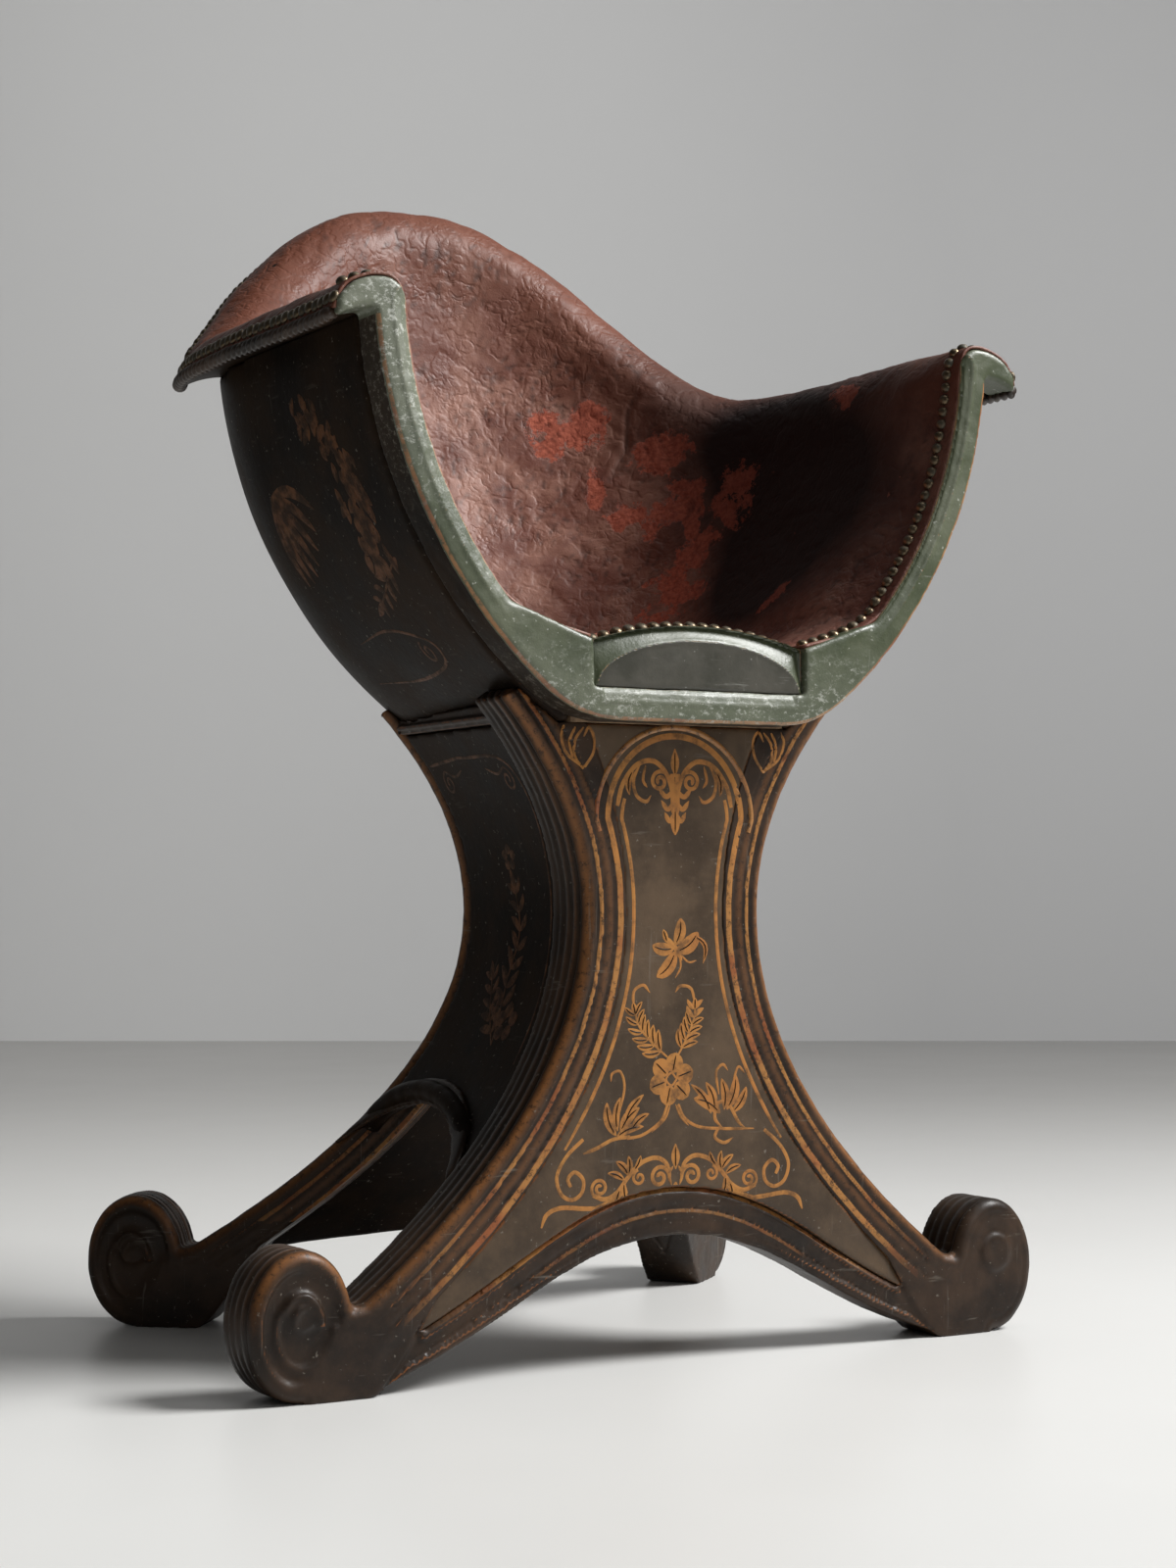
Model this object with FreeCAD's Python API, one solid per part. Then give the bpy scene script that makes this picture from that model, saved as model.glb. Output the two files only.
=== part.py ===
import FreeCAD, Part
import math
import os
from FreeCAD import Vector

# Gondola chair, millimetres. +X is on the right as seen from the front, the front faces -Y,
# +Z is up and the origin lies on the floor under the middle of the overall box.

# Tub: a U-shaped trough closed by a rounded, leaning back
seat_floor_z = 406.0
arm_top_z = 645.0
crest_top_z = 792.0
floor_half = 86.0
arm_half = 228.0
side_radius = 315.0
wall = 20.0
arm_run = 197.0
back_floor_reach = 95.0
back_top_reach = 215.0
back_radius = 600.0
hump_half_angle = 75.0
hump_fullness = 1.15
stave_angle = 56.0
rib_step = 8.0
rib_spans = 6
floor_fill = 4.0

# Front frame and the rolled rail on top of the walls
frame_depth = 28.0
frame_proud = 32.0
frame_foot_radius = 80.0
rail_height = 18.0
rail_shoulder = 6.0
lip_overhang = 25.0
lip_edge = 10.0
lip_fall = 8.0
crown_inset = 2.0
shoulder_inset = 14.0
shoulder_height = 15.7
roll_reach = 15.5
roll_height = 12.2
hollow_reach = 12.5
hollow_fall = 2.4

# Seat lid, cheeks and hinges
lid_run = 215.0
lid_board = 16.0
block_depth = 20.0
block_end_rise = 29.0
block_crown_rise = 41.0
block_setback = 2.0
cushion_inset = 2.0
cushion_back_rise = 10.0
cushion_spans = 4
cheek_toe = 0.4
cheek_end_rise = 30.0
cheek_wall_rise = 50.0
hinge_length = 44.0
hinge_spread = 42.0
hinge_leaf_width = 26.0
hinge_leaf = 2.0
knuckle_radius = 4.0
pin_radius = 2.0

# Pedestal: an hourglass of four scroll-footed legs with panels between them
leg_top_z = 420.0
leg_top_rise = 26.0
waist_z = 287.0
waist_half = 66.0
top_half = 124.0
foot_z = 56.0
foot_half = 217.0
rear_foot_half = 256.0
leg_depth = 42.0
leg_top_width = 36.0
leg_waist_width = 30.0
leg_foot_width = 48.0
scroll_offset = 41.0
scroll_half = 34.0
scroll_half_height = 45.0
scroll_boss = 2.5
scroll_eye = 12.0
scroll_eye_z = 54.0
rear_splay = 40.0
rear_pivot = 143.0

# Panels, aprons and the inside of the pedestal
panel = 14.0
panel_spans = 8
panel_recess = 4.0
side_inset = 5.0
side_low_z = 118.0
side_arch_rise = 42.0
back_low_z = 40.0
back_arch_rise = 14.0
apron_depth = 30.0
apron_arch_z = 82.0
apron_height = 30.0
apron_end_z = 4.0
apron_end_height = 20.0
apron_reach = 209.0
apron_flat = 79.0
apron_bend_reach = 119.0
apron_bend_fall = 0.65
side_moulding_radius = 8.0
collar_height = 20.0
collar_overhang = 4.0
collar_depth = 24.0
collar_bulge_rise = 14.0
top_board = 12.0
mouth_half = 48.0
mouth_front_margin = 13.0
mouth_rear_margin = 52.0
compartment_z = 172.0
compartment_board = 12.0

# Upholstery
lining = 14.0
lining_low_z = 452.0
lining_clear = 2.0

# Clearances, and how far a cutting shape runs past the piece it cuts
soft_gap = 0.3
joint_gap = 0.3
rail_gap = 0.6
lid_gap = 1.0
pin_gap = 0.05
board_gap = 4.5
overcut = 1.0


# Curve and solid helpers

def spline(points):
    curve = Part.BSplineCurve()
    curve.interpolate(points)
    return curve.toShape()


def bezier(points):
    curve = Part.BezierCurve()
    curve.setPoles(points)
    return curve.toShape()


def line(start, end):
    return Part.makeLine(start, end)


def arc(start, middle, end):
    return Part.Arc(start, middle, end).toShape()


def plate(edges, direction):
    return Part.Face(Part.Wire(Part.__sortEdges__(edges))).extrude(direction)


def box(x0, x1, y0, y1, z0, z1):
    return Part.makeBox(x1 - x0, y1 - y0, z1 - z0, Vector(x0, y0, z0))


def mirrored(shape):
    return shape.mirror(Vector(0, 0, 0), Vector(1, 0, 0))


def largest(shape):
    return max(shape.Solids, key=lambda solid: solid.Volume)


def piece_at(shape, point):
    """The solid of a cut shape that holds a point."""
    return next(solid for solid in shape.Solids if solid.isInside(point, joint_gap, True))


def arc_centre(low, high, radius):
    """Centre of an arc that bulges away from the tub's middle between two points."""
    run = high[0] - low[0]
    rise = high[1] - low[1]
    chord = math.hypot(run, rise)
    height = math.sqrt(radius ** 2 - (chord / 2) ** 2)
    x = (low[0] + high[0]) / 2 - rise / chord * height
    z = (low[1] + high[1]) / 2 + run / chord * height
    return x, z


# Tub surfaces: how far the wall stands from the middle, a given depth inside the outer face

side_centre = arc_centre((floor_half, seat_floor_z), (arm_half, arm_top_z), side_radius)
back_centre = arc_centre((back_floor_reach, seat_floor_z), (back_top_reach, crest_top_z), back_radius)


def side_reach(z, depth):
    level = min(z, side_centre[1]) - side_centre[1]
    return side_centre[0] + math.sqrt((side_radius - depth) ** 2 - level ** 2)


def back_reach(z, depth):
    level = min(z, back_centre[1]) - back_centre[1]
    return back_centre[0] + math.sqrt((back_radius - depth) ** 2 - level ** 2)


def reach(angle, z, depth):
    side = math.cos(math.radians(angle)) / side_reach(z, depth)
    back = math.sin(math.radians(angle)) / back_reach(z, depth)
    return 1 / math.hypot(side, back)


# Places along the depth and up the seat

total_depth = arm_run + back_reach(crest_top_z, 0) + lip_overhang
frame_y = -total_depth / 2
panel_y = frame_y + frame_proud
axis_y = frame_y + arm_run
pivot_y = panel_y + rear_pivot
hinge_y = frame_y + lid_run
board_top_z = seat_floor_z + wall
lid_bottom_z = board_top_z + soft_gap
hinge_z = lid_bottom_z + lid_board
lining_arm_low_z = board_top_z + cheek_wall_rise + lining_clear
lid_half = side_reach(board_top_z, wall + joint_gap) - cheek_toe - lid_gap


# Tub outlines

def rim_z(angle):
    """Height of the wall top: level along the arms, a hump in the middle of the back."""
    turn = min(abs(angle - 90) / hump_half_angle, 1)
    return arm_top_z + (crest_top_z - arm_top_z) * (1 + math.cos(math.pi * turn ** hump_fullness)) / 2


def on_rib(angle, out, z):
    turn = math.radians(angle)
    return Vector(out * math.cos(turn), axis_y + out * math.sin(turn), z)


def rib_curve(angle, depth, low, high):
    levels = [low + (high - low) * step / rib_spans for step in range(rib_spans + 1)]
    return spline([on_rib(angle, reach(angle, z, depth), z) for z in levels])


def rib_angles(start, end):
    steps = max(2, math.ceil((end - start) / rib_step))
    return [start + (end - start) * step / steps for step in range(steps + 1)]


def wall_rib(angle):
    """Closed outline of the wooden wall, standing beside the seat board."""
    top = rim_z(angle)
    outer = rib_curve(angle, 0, seat_floor_z, top)
    inner = rib_curve(angle, wall, board_top_z, top)
    inside = reach(angle, board_top_z, wall)
    foot = on_rib(angle, inside, seat_floor_z)
    corner = on_rib(angle, inside, board_top_z)
    outer_foot = on_rib(angle, reach(angle, seat_floor_z, 0), seat_floor_z)
    outer_top = on_rib(angle, reach(angle, top, 0), top)
    inner_top = on_rib(angle, reach(angle, top, wall), top)
    return Part.Wire([outer, line(outer_top, inner_top), inner, line(corner, foot), line(foot, outer_foot)])


def lining_rib(angle, low):
    """Closed outline of the padded leather on the inside of the wall."""
    top = rim_z(angle)
    near = wall + soft_gap
    far = near + lining
    outer = rib_curve(angle, near, low, top)
    inner = rib_curve(angle, far, low, top)
    outer_top = on_rib(angle, reach(angle, top, near), top)
    inner_top = on_rib(angle, reach(angle, top, far), top)
    outer_low = on_rib(angle, reach(angle, low, near), low)
    inner_low = on_rib(angle, reach(angle, low, far), low)
    return Part.Wire([outer, line(outer_top, inner_top), inner, line(inner_low, outer_low)])


def back_lining_rib(angle):
    return lining_rib(angle, lining_low_z)


def rail_rib(angle):
    """Closed outline of the top rail: rounded over, with a lip that overhangs outwards."""
    out = reach(angle, rim_z(angle), 0)
    base = rim_z(angle) + rail_gap

    def at(offset, rise):
        return on_rib(angle, out + offset, base + rise)

    shoulder = at(-wall, rail_shoulder)
    crown = at(-crown_inset, rail_height)
    lip_top = at(lip_overhang, lip_edge - lip_fall)
    lip_low = at(lip_overhang, -lip_fall)
    return Part.Wire([
        line(at(-wall, 0), shoulder),
        arc(shoulder, at(-shoulder_inset, shoulder_height), crown),
        arc(crown, at(roll_reach, roll_height), lip_top),
        line(lip_top, lip_low),
        arc(lip_low, at(hollow_reach, -hollow_fall), at(0, 0)),
        line(at(0, 0), at(-wall, 0)),
    ])


def swept_back(make_rib, start, end):
    return Part.makeLoft([make_rib(angle) for angle in rib_angles(start, end)], True, False)


def run_forward(outline, y_from, y_to):
    """Straight run of an outline of the first rib along the arm."""
    section = Part.Face(outline).translated(Vector(0, y_from - axis_y, 0))
    return section.extrude(Vector(0, y_to - y_from, 0))


# Pedestal outlines, in a leg's own plane: reach from the middle and height

def leg_edge(at_top, at_waist, at_foot, top_z):
    """Two parabolas that meet upright at the waist, as edges from the top down to the foot."""
    upper = [Vector(at_top, 0, top_z), Vector(at_waist, 0, (top_z + waist_z) / 2)]
    lower = [Vector(at_waist, 0, (waist_z + foot_z) / 2), Vector(at_foot, 0, foot_z)]
    middle = Vector(at_waist, 0, waist_z)
    return [bezier(upper + [middle]), bezier([middle] + lower)]


def leg_reach(z, at_foot):
    """How far the outer edge of a leg stands from the middle at a height."""
    if z > waist_z:
        return waist_half + (top_half - waist_half) * ((z - waist_z) / (leg_top_z - waist_z)) ** 2
    return waist_half + (at_foot - waist_half) * ((waist_z - z) / (waist_z - foot_z)) ** 2


def make_leg(at_foot):
    """Leg in its own plane, with an oval scroll that curls up at the end of the foot."""
    inner_top = top_half - leg_top_width
    inner_waist = waist_half - leg_waist_width
    inner_foot = at_foot - leg_foot_width
    scroll_x = at_foot + scroll_offset
    toe = Vector(at_foot, 0, foot_z)
    heel = Vector(inner_foot, 0, foot_z)
    middle = Vector(scroll_x, 0, scroll_half_height)
    under = Vector(scroll_x, 0, 0)
    tread = Vector(scroll_x - scroll_half_height, 0, 0)
    inner_top_z = leg_top_z + leg_top_rise
    edges = leg_edge(top_half, waist_half, at_foot, leg_top_z)
    edges += leg_edge(inner_top, inner_waist, inner_foot, inner_top_z)
    edges += [line(toe, middle), line(middle, under), line(under, tread)]
    edges += [bezier([tread, Vector(inner_foot + scroll_half, 0, 0), heel])]
    edges += [line(Vector(inner_top, 0, inner_top_z), Vector(top_half, 0, leg_top_z))]
    body = plate(edges, Vector(0, leg_depth, 0))
    oval = Part.Ellipse(Vector(scroll_x, 0, 2 * scroll_half_height),
                        Vector(scroll_x + scroll_half, 0, scroll_half_height), middle).toShape()
    scroll = Part.Face(Part.Wire(oval)).extrude(Vector(0, leg_depth, 0))
    eye = Part.makeCylinder(scroll_eye, leg_depth + 2 * scroll_boss,
                            Vector(scroll_x, -scroll_boss, scroll_eye_z), Vector(0, 1, 0))
    return body.fuse([scroll, eye]).removeSplitter()


def rear_place(out, across, z):
    """Point of the right rear leg: along its plane, across it towards the side, and height."""
    turn = math.radians(rear_splay)
    x = out * math.cos(turn) + across * math.sin(turn)
    y = pivot_y + out * math.sin(turn) - across * math.cos(turn)
    return Vector(x, y, z)


def front_leg():
    return make_leg(foot_half).translated(Vector(0, panel_y, 0))


def rear_leg():
    leg = make_leg(rear_foot_half).translated(Vector(0, -leg_depth / 2, 0))
    leg.rotate(Vector(0, 0, 0), Vector(0, 0, 1), rear_splay)
    return leg.translated(Vector(0, pivot_y, 0))


def apron_curve(centre_z, end_z):
    """Half of the arch under the front, as a flowing curve down to the foot."""
    bend = centre_z - (centre_z - end_z) * apron_bend_fall
    return [Vector(0, 0, centre_z), Vector(apron_flat, 0, centre_z), Vector(apron_bend_reach, 0, bend),
            Vector(apron_reach, 0, end_z)]


def front_apron(legs):
    """Arched rail between the front feet, standing proud of the panel above it."""
    low = apron_curve(apron_arch_z, apron_end_z)
    high = apron_curve(apron_arch_z + apron_height, apron_end_z + apron_end_height)
    half = plate([bezier(low), bezier(high), line(low[0], high[0]), line(low[3], high[3])],
                 Vector(0, apron_depth, 0))
    rail = half.fuse(mirrored(half)).removeSplitter().translated(Vector(0, panel_y + panel_recess / 2, 0))
    return largest(rail.cut(legs))


def front_panel(legs, apron):
    """Flat hourglass board that fills the front between the legs and the arched rail."""
    front = panel_y + panel_recess
    board = box(-foot_half, foot_half, front, front + panel, 0, seat_floor_z)
    return piece_at(board.cut(legs + [apron]), Vector(0, front + panel / 2, waist_z))


def side_section(z):
    """Level cut through the right side panel, butted between a front and a rear leg."""
    front = leg_reach(z, foot_half) - side_inset
    rear = leg_reach(z, rear_foot_half) - side_inset
    corners = [Vector(front, panel_y + leg_depth, z), rear_place(rear, leg_depth / 2, z),
               rear_place(rear - panel, leg_depth / 2, z), Vector(front - panel, panel_y + leg_depth, z)]
    return Part.makePolygon(corners + corners[:1])


def panel_levels(low):
    return [low + (seat_floor_z - low) * step / panel_spans for step in range(panel_spans + 1)]


def side_arch():
    """Arch cut under the side panel, as a curve from the front leg to the rear leg."""
    front = panel_y + leg_depth
    rear = rear_place(leg_reach(side_low_z, rear_foot_half), leg_depth / 2, 0).y
    middle = Vector(0, (front + rear) / 2, side_low_z + side_arch_rise)
    return Vector(0, front, side_low_z), middle, Vector(0, rear, side_low_z)


def side_panel():
    board = Part.makeLoft([side_section(z) for z in panel_levels(side_low_z)], True, False)
    start, middle, end = side_arch()
    scoop = plate([arc(start, middle, end), line(end, start)], Vector(foot_half, 0, 0))
    return largest(board.cut(scoop))


def side_moulding(panel_board):
    """Half-round moulding planted on the side panel along its arch."""
    start, middle, end = side_arch()
    rise = Vector(0, 0, side_moulding_radius)
    outer = arc(start + rise, middle + rise * 2, end + rise)
    inner = arc(start, middle, end)
    strip = plate([outer, inner, line(start, start + rise), line(end, end + rise)], Vector(foot_half, 0, 0))
    shell = Part.makeLoft([moulding_section(z) for z in panel_levels(side_low_z)], True, False)
    return largest(shell.common(strip).cut(panel_board))


def moulding_section(z):
    front = leg_reach(z, foot_half) - side_inset
    rear = leg_reach(z, rear_foot_half) - side_inset
    corners = [Vector(front + side_moulding_radius / 2, panel_y + leg_depth, z),
               rear_place(rear + side_moulding_radius / 2, leg_depth / 2, z),
               rear_place(rear, leg_depth / 2, z), Vector(front, panel_y + leg_depth, z)]
    return Part.makePolygon(corners + corners[:1])


def collar_outline(place, out):
    """Quarter-round outline of the moulding between a side panel and the tub."""
    low = seat_floor_z
    foot = place(out + collar_overhang, low)
    bulge = place(out, low + collar_bulge_rise)
    top = place(out - collar_depth / 2, low + collar_height)
    inner_top = place(out - collar_depth, low + collar_height)
    inner_low = place(out - collar_depth, low)
    edges = [arc(foot, bulge, top), line(top, inner_top), line(inner_top, inner_low), line(inner_low, foot)]
    return Part.Wire(edges)


def collar_moulding():
    """Moulding on top of the right side panel, under the tub's flank."""
    front = leg_reach(seat_floor_z, foot_half) - side_inset
    rear = leg_reach(seat_floor_z, rear_foot_half) - side_inset
    at_front = collar_outline(lambda out, z: Vector(out, panel_y + leg_depth, z), front)
    at_rear = collar_outline(lambda out, z: rear_place(out, leg_depth / 2, z), rear)
    return Part.makeLoft([at_front, at_rear], True, True)


def back_section(z):
    """Level cut through the back panel, butted between the two rear legs."""
    outer = rear_place(leg_reach(z, rear_foot_half) - side_inset, -leg_depth / 2, z)
    slant = panel / math.sin(math.radians(rear_splay))
    inner = rear_place(leg_reach(z, rear_foot_half) - side_inset - slant, -leg_depth / 2, z)
    corners = [outer, Vector(-outer.x, outer.y, z), Vector(-inner.x, inner.y, z), inner]
    return Part.makePolygon(corners + corners[:1])


def back_panel():
    """Flaring board between the rear legs, arched a little along its lower edge."""
    board = Part.makeLoft([back_section(z) for z in panel_levels(back_low_z)], True, False)
    half = rear_place(leg_reach(back_low_z, rear_foot_half), -leg_depth / 2, 0).x
    start = Vector(-half, panel_y, back_low_z)
    end = Vector(half, panel_y, back_low_z)
    middle = Vector(0, panel_y, back_low_z + back_arch_rise)
    scoop = plate([arc(start, middle, end), line(end, start)], Vector(0, total_depth, 0))
    return largest(board.cut(scoop))


def mouth(z0, z1):
    """Space of the opening under the lid, down into the pedestal."""
    front = panel_y + panel_recess + panel + mouth_front_margin
    return box(-mouth_half, mouth_half, front, hinge_y - mouth_rear_margin, z0, z1)


def inner_board(walls, z, thickness):
    """Level board fitted between the legs and panels of the pedestal."""
    out = leg_reach(z, rear_foot_half) + leg_depth
    depth = rear_place(out, -leg_depth / 2, 0).y
    board = box(-out, out, panel_y, depth, z, z + thickness)
    return piece_at(board.cut(walls), Vector(0, pivot_y, z + thickness / 2))


def carrying_board(walls):
    """Board in the pedestal's top that carries the tub, open under the lid."""
    low = seat_floor_z - top_board
    return inner_board(walls, low, top_board).cut(mouth(low - overcut, seat_floor_z + overcut))


# Tub pieces

def frame_foot():
    """Waste outside the round that joins the frame's bottom to its right upright."""
    rise = seat_floor_z + frame_foot_radius - side_centre[1]
    distance = side_radius - frame_foot_radius
    run = math.sqrt(distance ** 2 - rise ** 2)
    centre = Vector(side_centre[0] + run, frame_y, seat_floor_z + frame_foot_radius)
    start = centre - Vector(0, 0, frame_foot_radius)
    end = centre + Vector(run, 0, rise) * (frame_foot_radius / distance)
    chord = (start + end) * 0.5 - centre
    middle = centre + chord * (frame_foot_radius / chord.Length)
    below = Vector(start.x, frame_y, seat_floor_z - overcut)
    beside = Vector(end.x, frame_y, seat_floor_z - overcut)
    edges = [arc(start, middle, end), line(end, beside), line(beside, below), line(below, start)]
    return plate(edges, Vector(0, frame_depth, 0))


def front_post():
    """Curved upright of the front frame, from the seat to the scroll end."""
    return largest(run_forward(wall_rib(0), frame_y, frame_y + frame_depth).cut(frame_foot()))


def front_rail():
    half = reach(0, board_top_z, wall)
    rail = box(-half, half, frame_y, frame_y + frame_depth, seat_floor_z, board_top_z)
    return rail.cut([frame_foot(), mirrored(frame_foot())])


def back_outline(half, deep):
    """Rounded back edge in plan, from one side to the other."""
    points = []
    for angle in rib_angles(0, 180):
        turn = math.radians(angle)
        out = 1 / math.hypot(math.cos(turn) / half, math.sin(turn) / deep)
        points.append(Vector(out * math.cos(turn), axis_y + out * math.sin(turn), 0))
    return spline(points)


def floor_plate(grow, start_y, z0, z1):
    """Level plate with the plan of the tub floor, larger all round by a margin."""
    half = side_reach(board_top_z, wall) + grow
    deep = back_reach(board_top_z, wall) + grow
    corners = [Vector(half, axis_y, 0), Vector(half, start_y, 0), Vector(-half, start_y, 0),
               Vector(-half, axis_y, 0)]
    edges = [line(corners[step], corners[step + 1]) for step in range(3)]
    edges.append(back_outline(half, deep))
    return plate(edges, Vector(0, 0, z1 - z0)).translated(Vector(0, 0, z0))


def seat_board():
    """Floor of the tub, rounded at the back, with the opening under the lid."""
    board = floor_plate(-joint_gap, frame_y + frame_depth, seat_floor_z, board_top_z)
    return board.cut(mouth(seat_floor_z - overcut, board_top_z + overcut))


def rear_ledge(leaves):
    """Fixed board behind the lid that carries the hinges."""
    board = floor_plate(-joint_gap, frame_y, board_top_z, hinge_z)
    front = box(-arm_half, arm_half, frame_y - overcut, hinge_y + board_gap, board_top_z - overcut,
                hinge_z + overcut)
    return board.cut([front] + leaves)


def cheek():
    """Wedge between the lid and the curved wall that lifts the leather at the seat's side."""
    inner = lid_half + lid_gap
    depth = wall + joint_gap
    low = Vector(side_reach(board_top_z, depth), 0, board_top_z)
    high_z = board_top_z + cheek_wall_rise
    high = Vector(side_reach(high_z, depth), 0, high_z)
    middle_z = (board_top_z + high_z) / 2
    middle = Vector(side_reach(middle_z, depth), 0, middle_z)
    corner = Vector(inner, 0, board_top_z)
    shoulder = Vector(inner, 0, board_top_z + cheek_end_rise)
    edges = [line(corner, low), arc(low, middle, high), line(high, shoulder), line(shoulder, corner)]
    return plate(edges, Vector(0, arm_run, 0)).translated(Vector(0, frame_y, 0))


def lid_block():
    """Arch-topped front of the seat lid."""
    low = lid_bottom_z
    left = Vector(-lid_half, 0, low + block_end_rise)
    right = Vector(lid_half, 0, low + block_end_rise)
    crown = Vector(0, 0, low + block_crown_rise)
    right_foot = Vector(lid_half, 0, low)
    left_foot = Vector(-lid_half, 0, low)
    edges = [arc(left, crown, right), line(right, right_foot), line(right_foot, left_foot)]
    edges.append(line(left_foot, left))
    return plate(edges, Vector(0, block_depth, 0)).translated(Vector(0, frame_y + block_setback, 0))


def lid_panel(leaves):
    start = frame_y + block_setback + block_depth
    return box(-lid_half, lid_half, start, hinge_y - board_gap, lid_bottom_z, hinge_z).cut(leaves)


def cushion_section(y, end_rise, crown_rise):
    """Crowned outline of the seat pad with drawn-in sides."""
    low = hinge_z + soft_gap
    half = lid_half - cushion_inset
    left = Vector(-half, y, low)
    right = Vector(half, y, low)
    left_top = Vector(-half, y, lid_bottom_z + end_rise)
    right_top = Vector(half, y, lid_bottom_z + end_rise)
    draw = Vector(cushion_inset, 0, (left_top.z - low) / 2)
    return Part.Wire([
        line(left, right),
        arc(right, right + Vector(-draw.x, 0, draw.z), right_top),
        arc(right_top, Vector(0, y, lid_bottom_z + crown_rise), left_top),
        arc(left_top, left + draw, left),
    ])


def lid_cushion():
    """Leather pad on the lid: as high as the front block, lower towards the hinges."""
    start = frame_y + block_setback + block_depth + soft_gap
    end = hinge_y - board_gap - 2 * knuckle_radius
    sections = []
    for step in range(cushion_spans + 1):
        along = step / cushion_spans
        drop = (block_crown_rise - lid_board - cushion_back_rise) * along ** 2
        end_rise = block_end_rise - min(drop, block_end_rise - lid_board - cushion_back_rise / 2)
        sections.append(cushion_section(start + (end - start) * along, end_rise, block_crown_rise - drop))
    return Part.makeLoft(sections, True, False)


# Hinges: three knuckles each, the middle one on the lid

def knuckle(x0, x1):
    return Part.makeCylinder(knuckle_radius, x1 - x0, Vector(x0, hinge_y, hinge_z), Vector(1, 0, 0))


def hinge_bounds(side):
    centre = side * hinge_spread
    return centre - hinge_length / 2, centre + hinge_length / 2


def pin_hole(side, radius):
    start, end = hinge_bounds(side)
    return Part.makeCylinder(radius, end - start, Vector(start, hinge_y, hinge_z), Vector(1, 0, 0))


def fixed_leaf(side):
    start, end = hinge_bounds(side)
    third = hinge_length / 3
    leaf = box(start, end, hinge_y, hinge_y + hinge_leaf_width, hinge_z - hinge_leaf, hinge_z)
    ends = [knuckle(start, start + third - joint_gap), knuckle(end - third + joint_gap, end)]
    gap = box(start + third - joint_gap, end - third + joint_gap, hinge_y - overcut, hinge_y + board_gap,
              hinge_z - knuckle_radius, hinge_z + knuckle_radius)
    return leaf.cut(gap).fuse(ends).removeSplitter().cut(pin_hole(side, pin_radius + pin_gap))


def lid_leaf(side):
    start, end = hinge_bounds(side)
    third = hinge_length / 3
    leaf = box(start, end, hinge_y - hinge_leaf_width, hinge_y, hinge_z - hinge_leaf, hinge_z)
    inner_start = start + third + joint_gap
    inner_end = end - third - joint_gap
    gaps = [box(x0, x1, hinge_y - board_gap, hinge_y + overcut, hinge_z - knuckle_radius, hinge_z + overcut)
            for x0, x1 in ((start - overcut, inner_start), (inner_end, end + overcut))]
    hinged = leaf.cut(gaps).fuse(knuckle(inner_start, inner_end)).removeSplitter()
    return hinged.cut(pin_hole(side, pin_radius + pin_gap))


def leaf_pocket(side, direction):
    """Shallow pocket in a board that a hinge leaf lies in."""
    start, end = hinge_bounds(side)
    edge = hinge_y + direction * hinge_leaf_width
    return box(start, end, min(hinge_y, edge), max(hinge_y, edge), hinge_z - hinge_leaf, hinge_z + overcut)


TUB_WALLS = ("right_arm_wall", "left_arm_wall", "right_back_wall", "left_back_wall", "back_wall")
PEDESTAL_WALLS = ("front_right_leg", "front_left_leg", "rear_right_leg", "rear_left_leg", "front_panel",
                  "right_side_panel", "left_side_panel", "back_panel")


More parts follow.
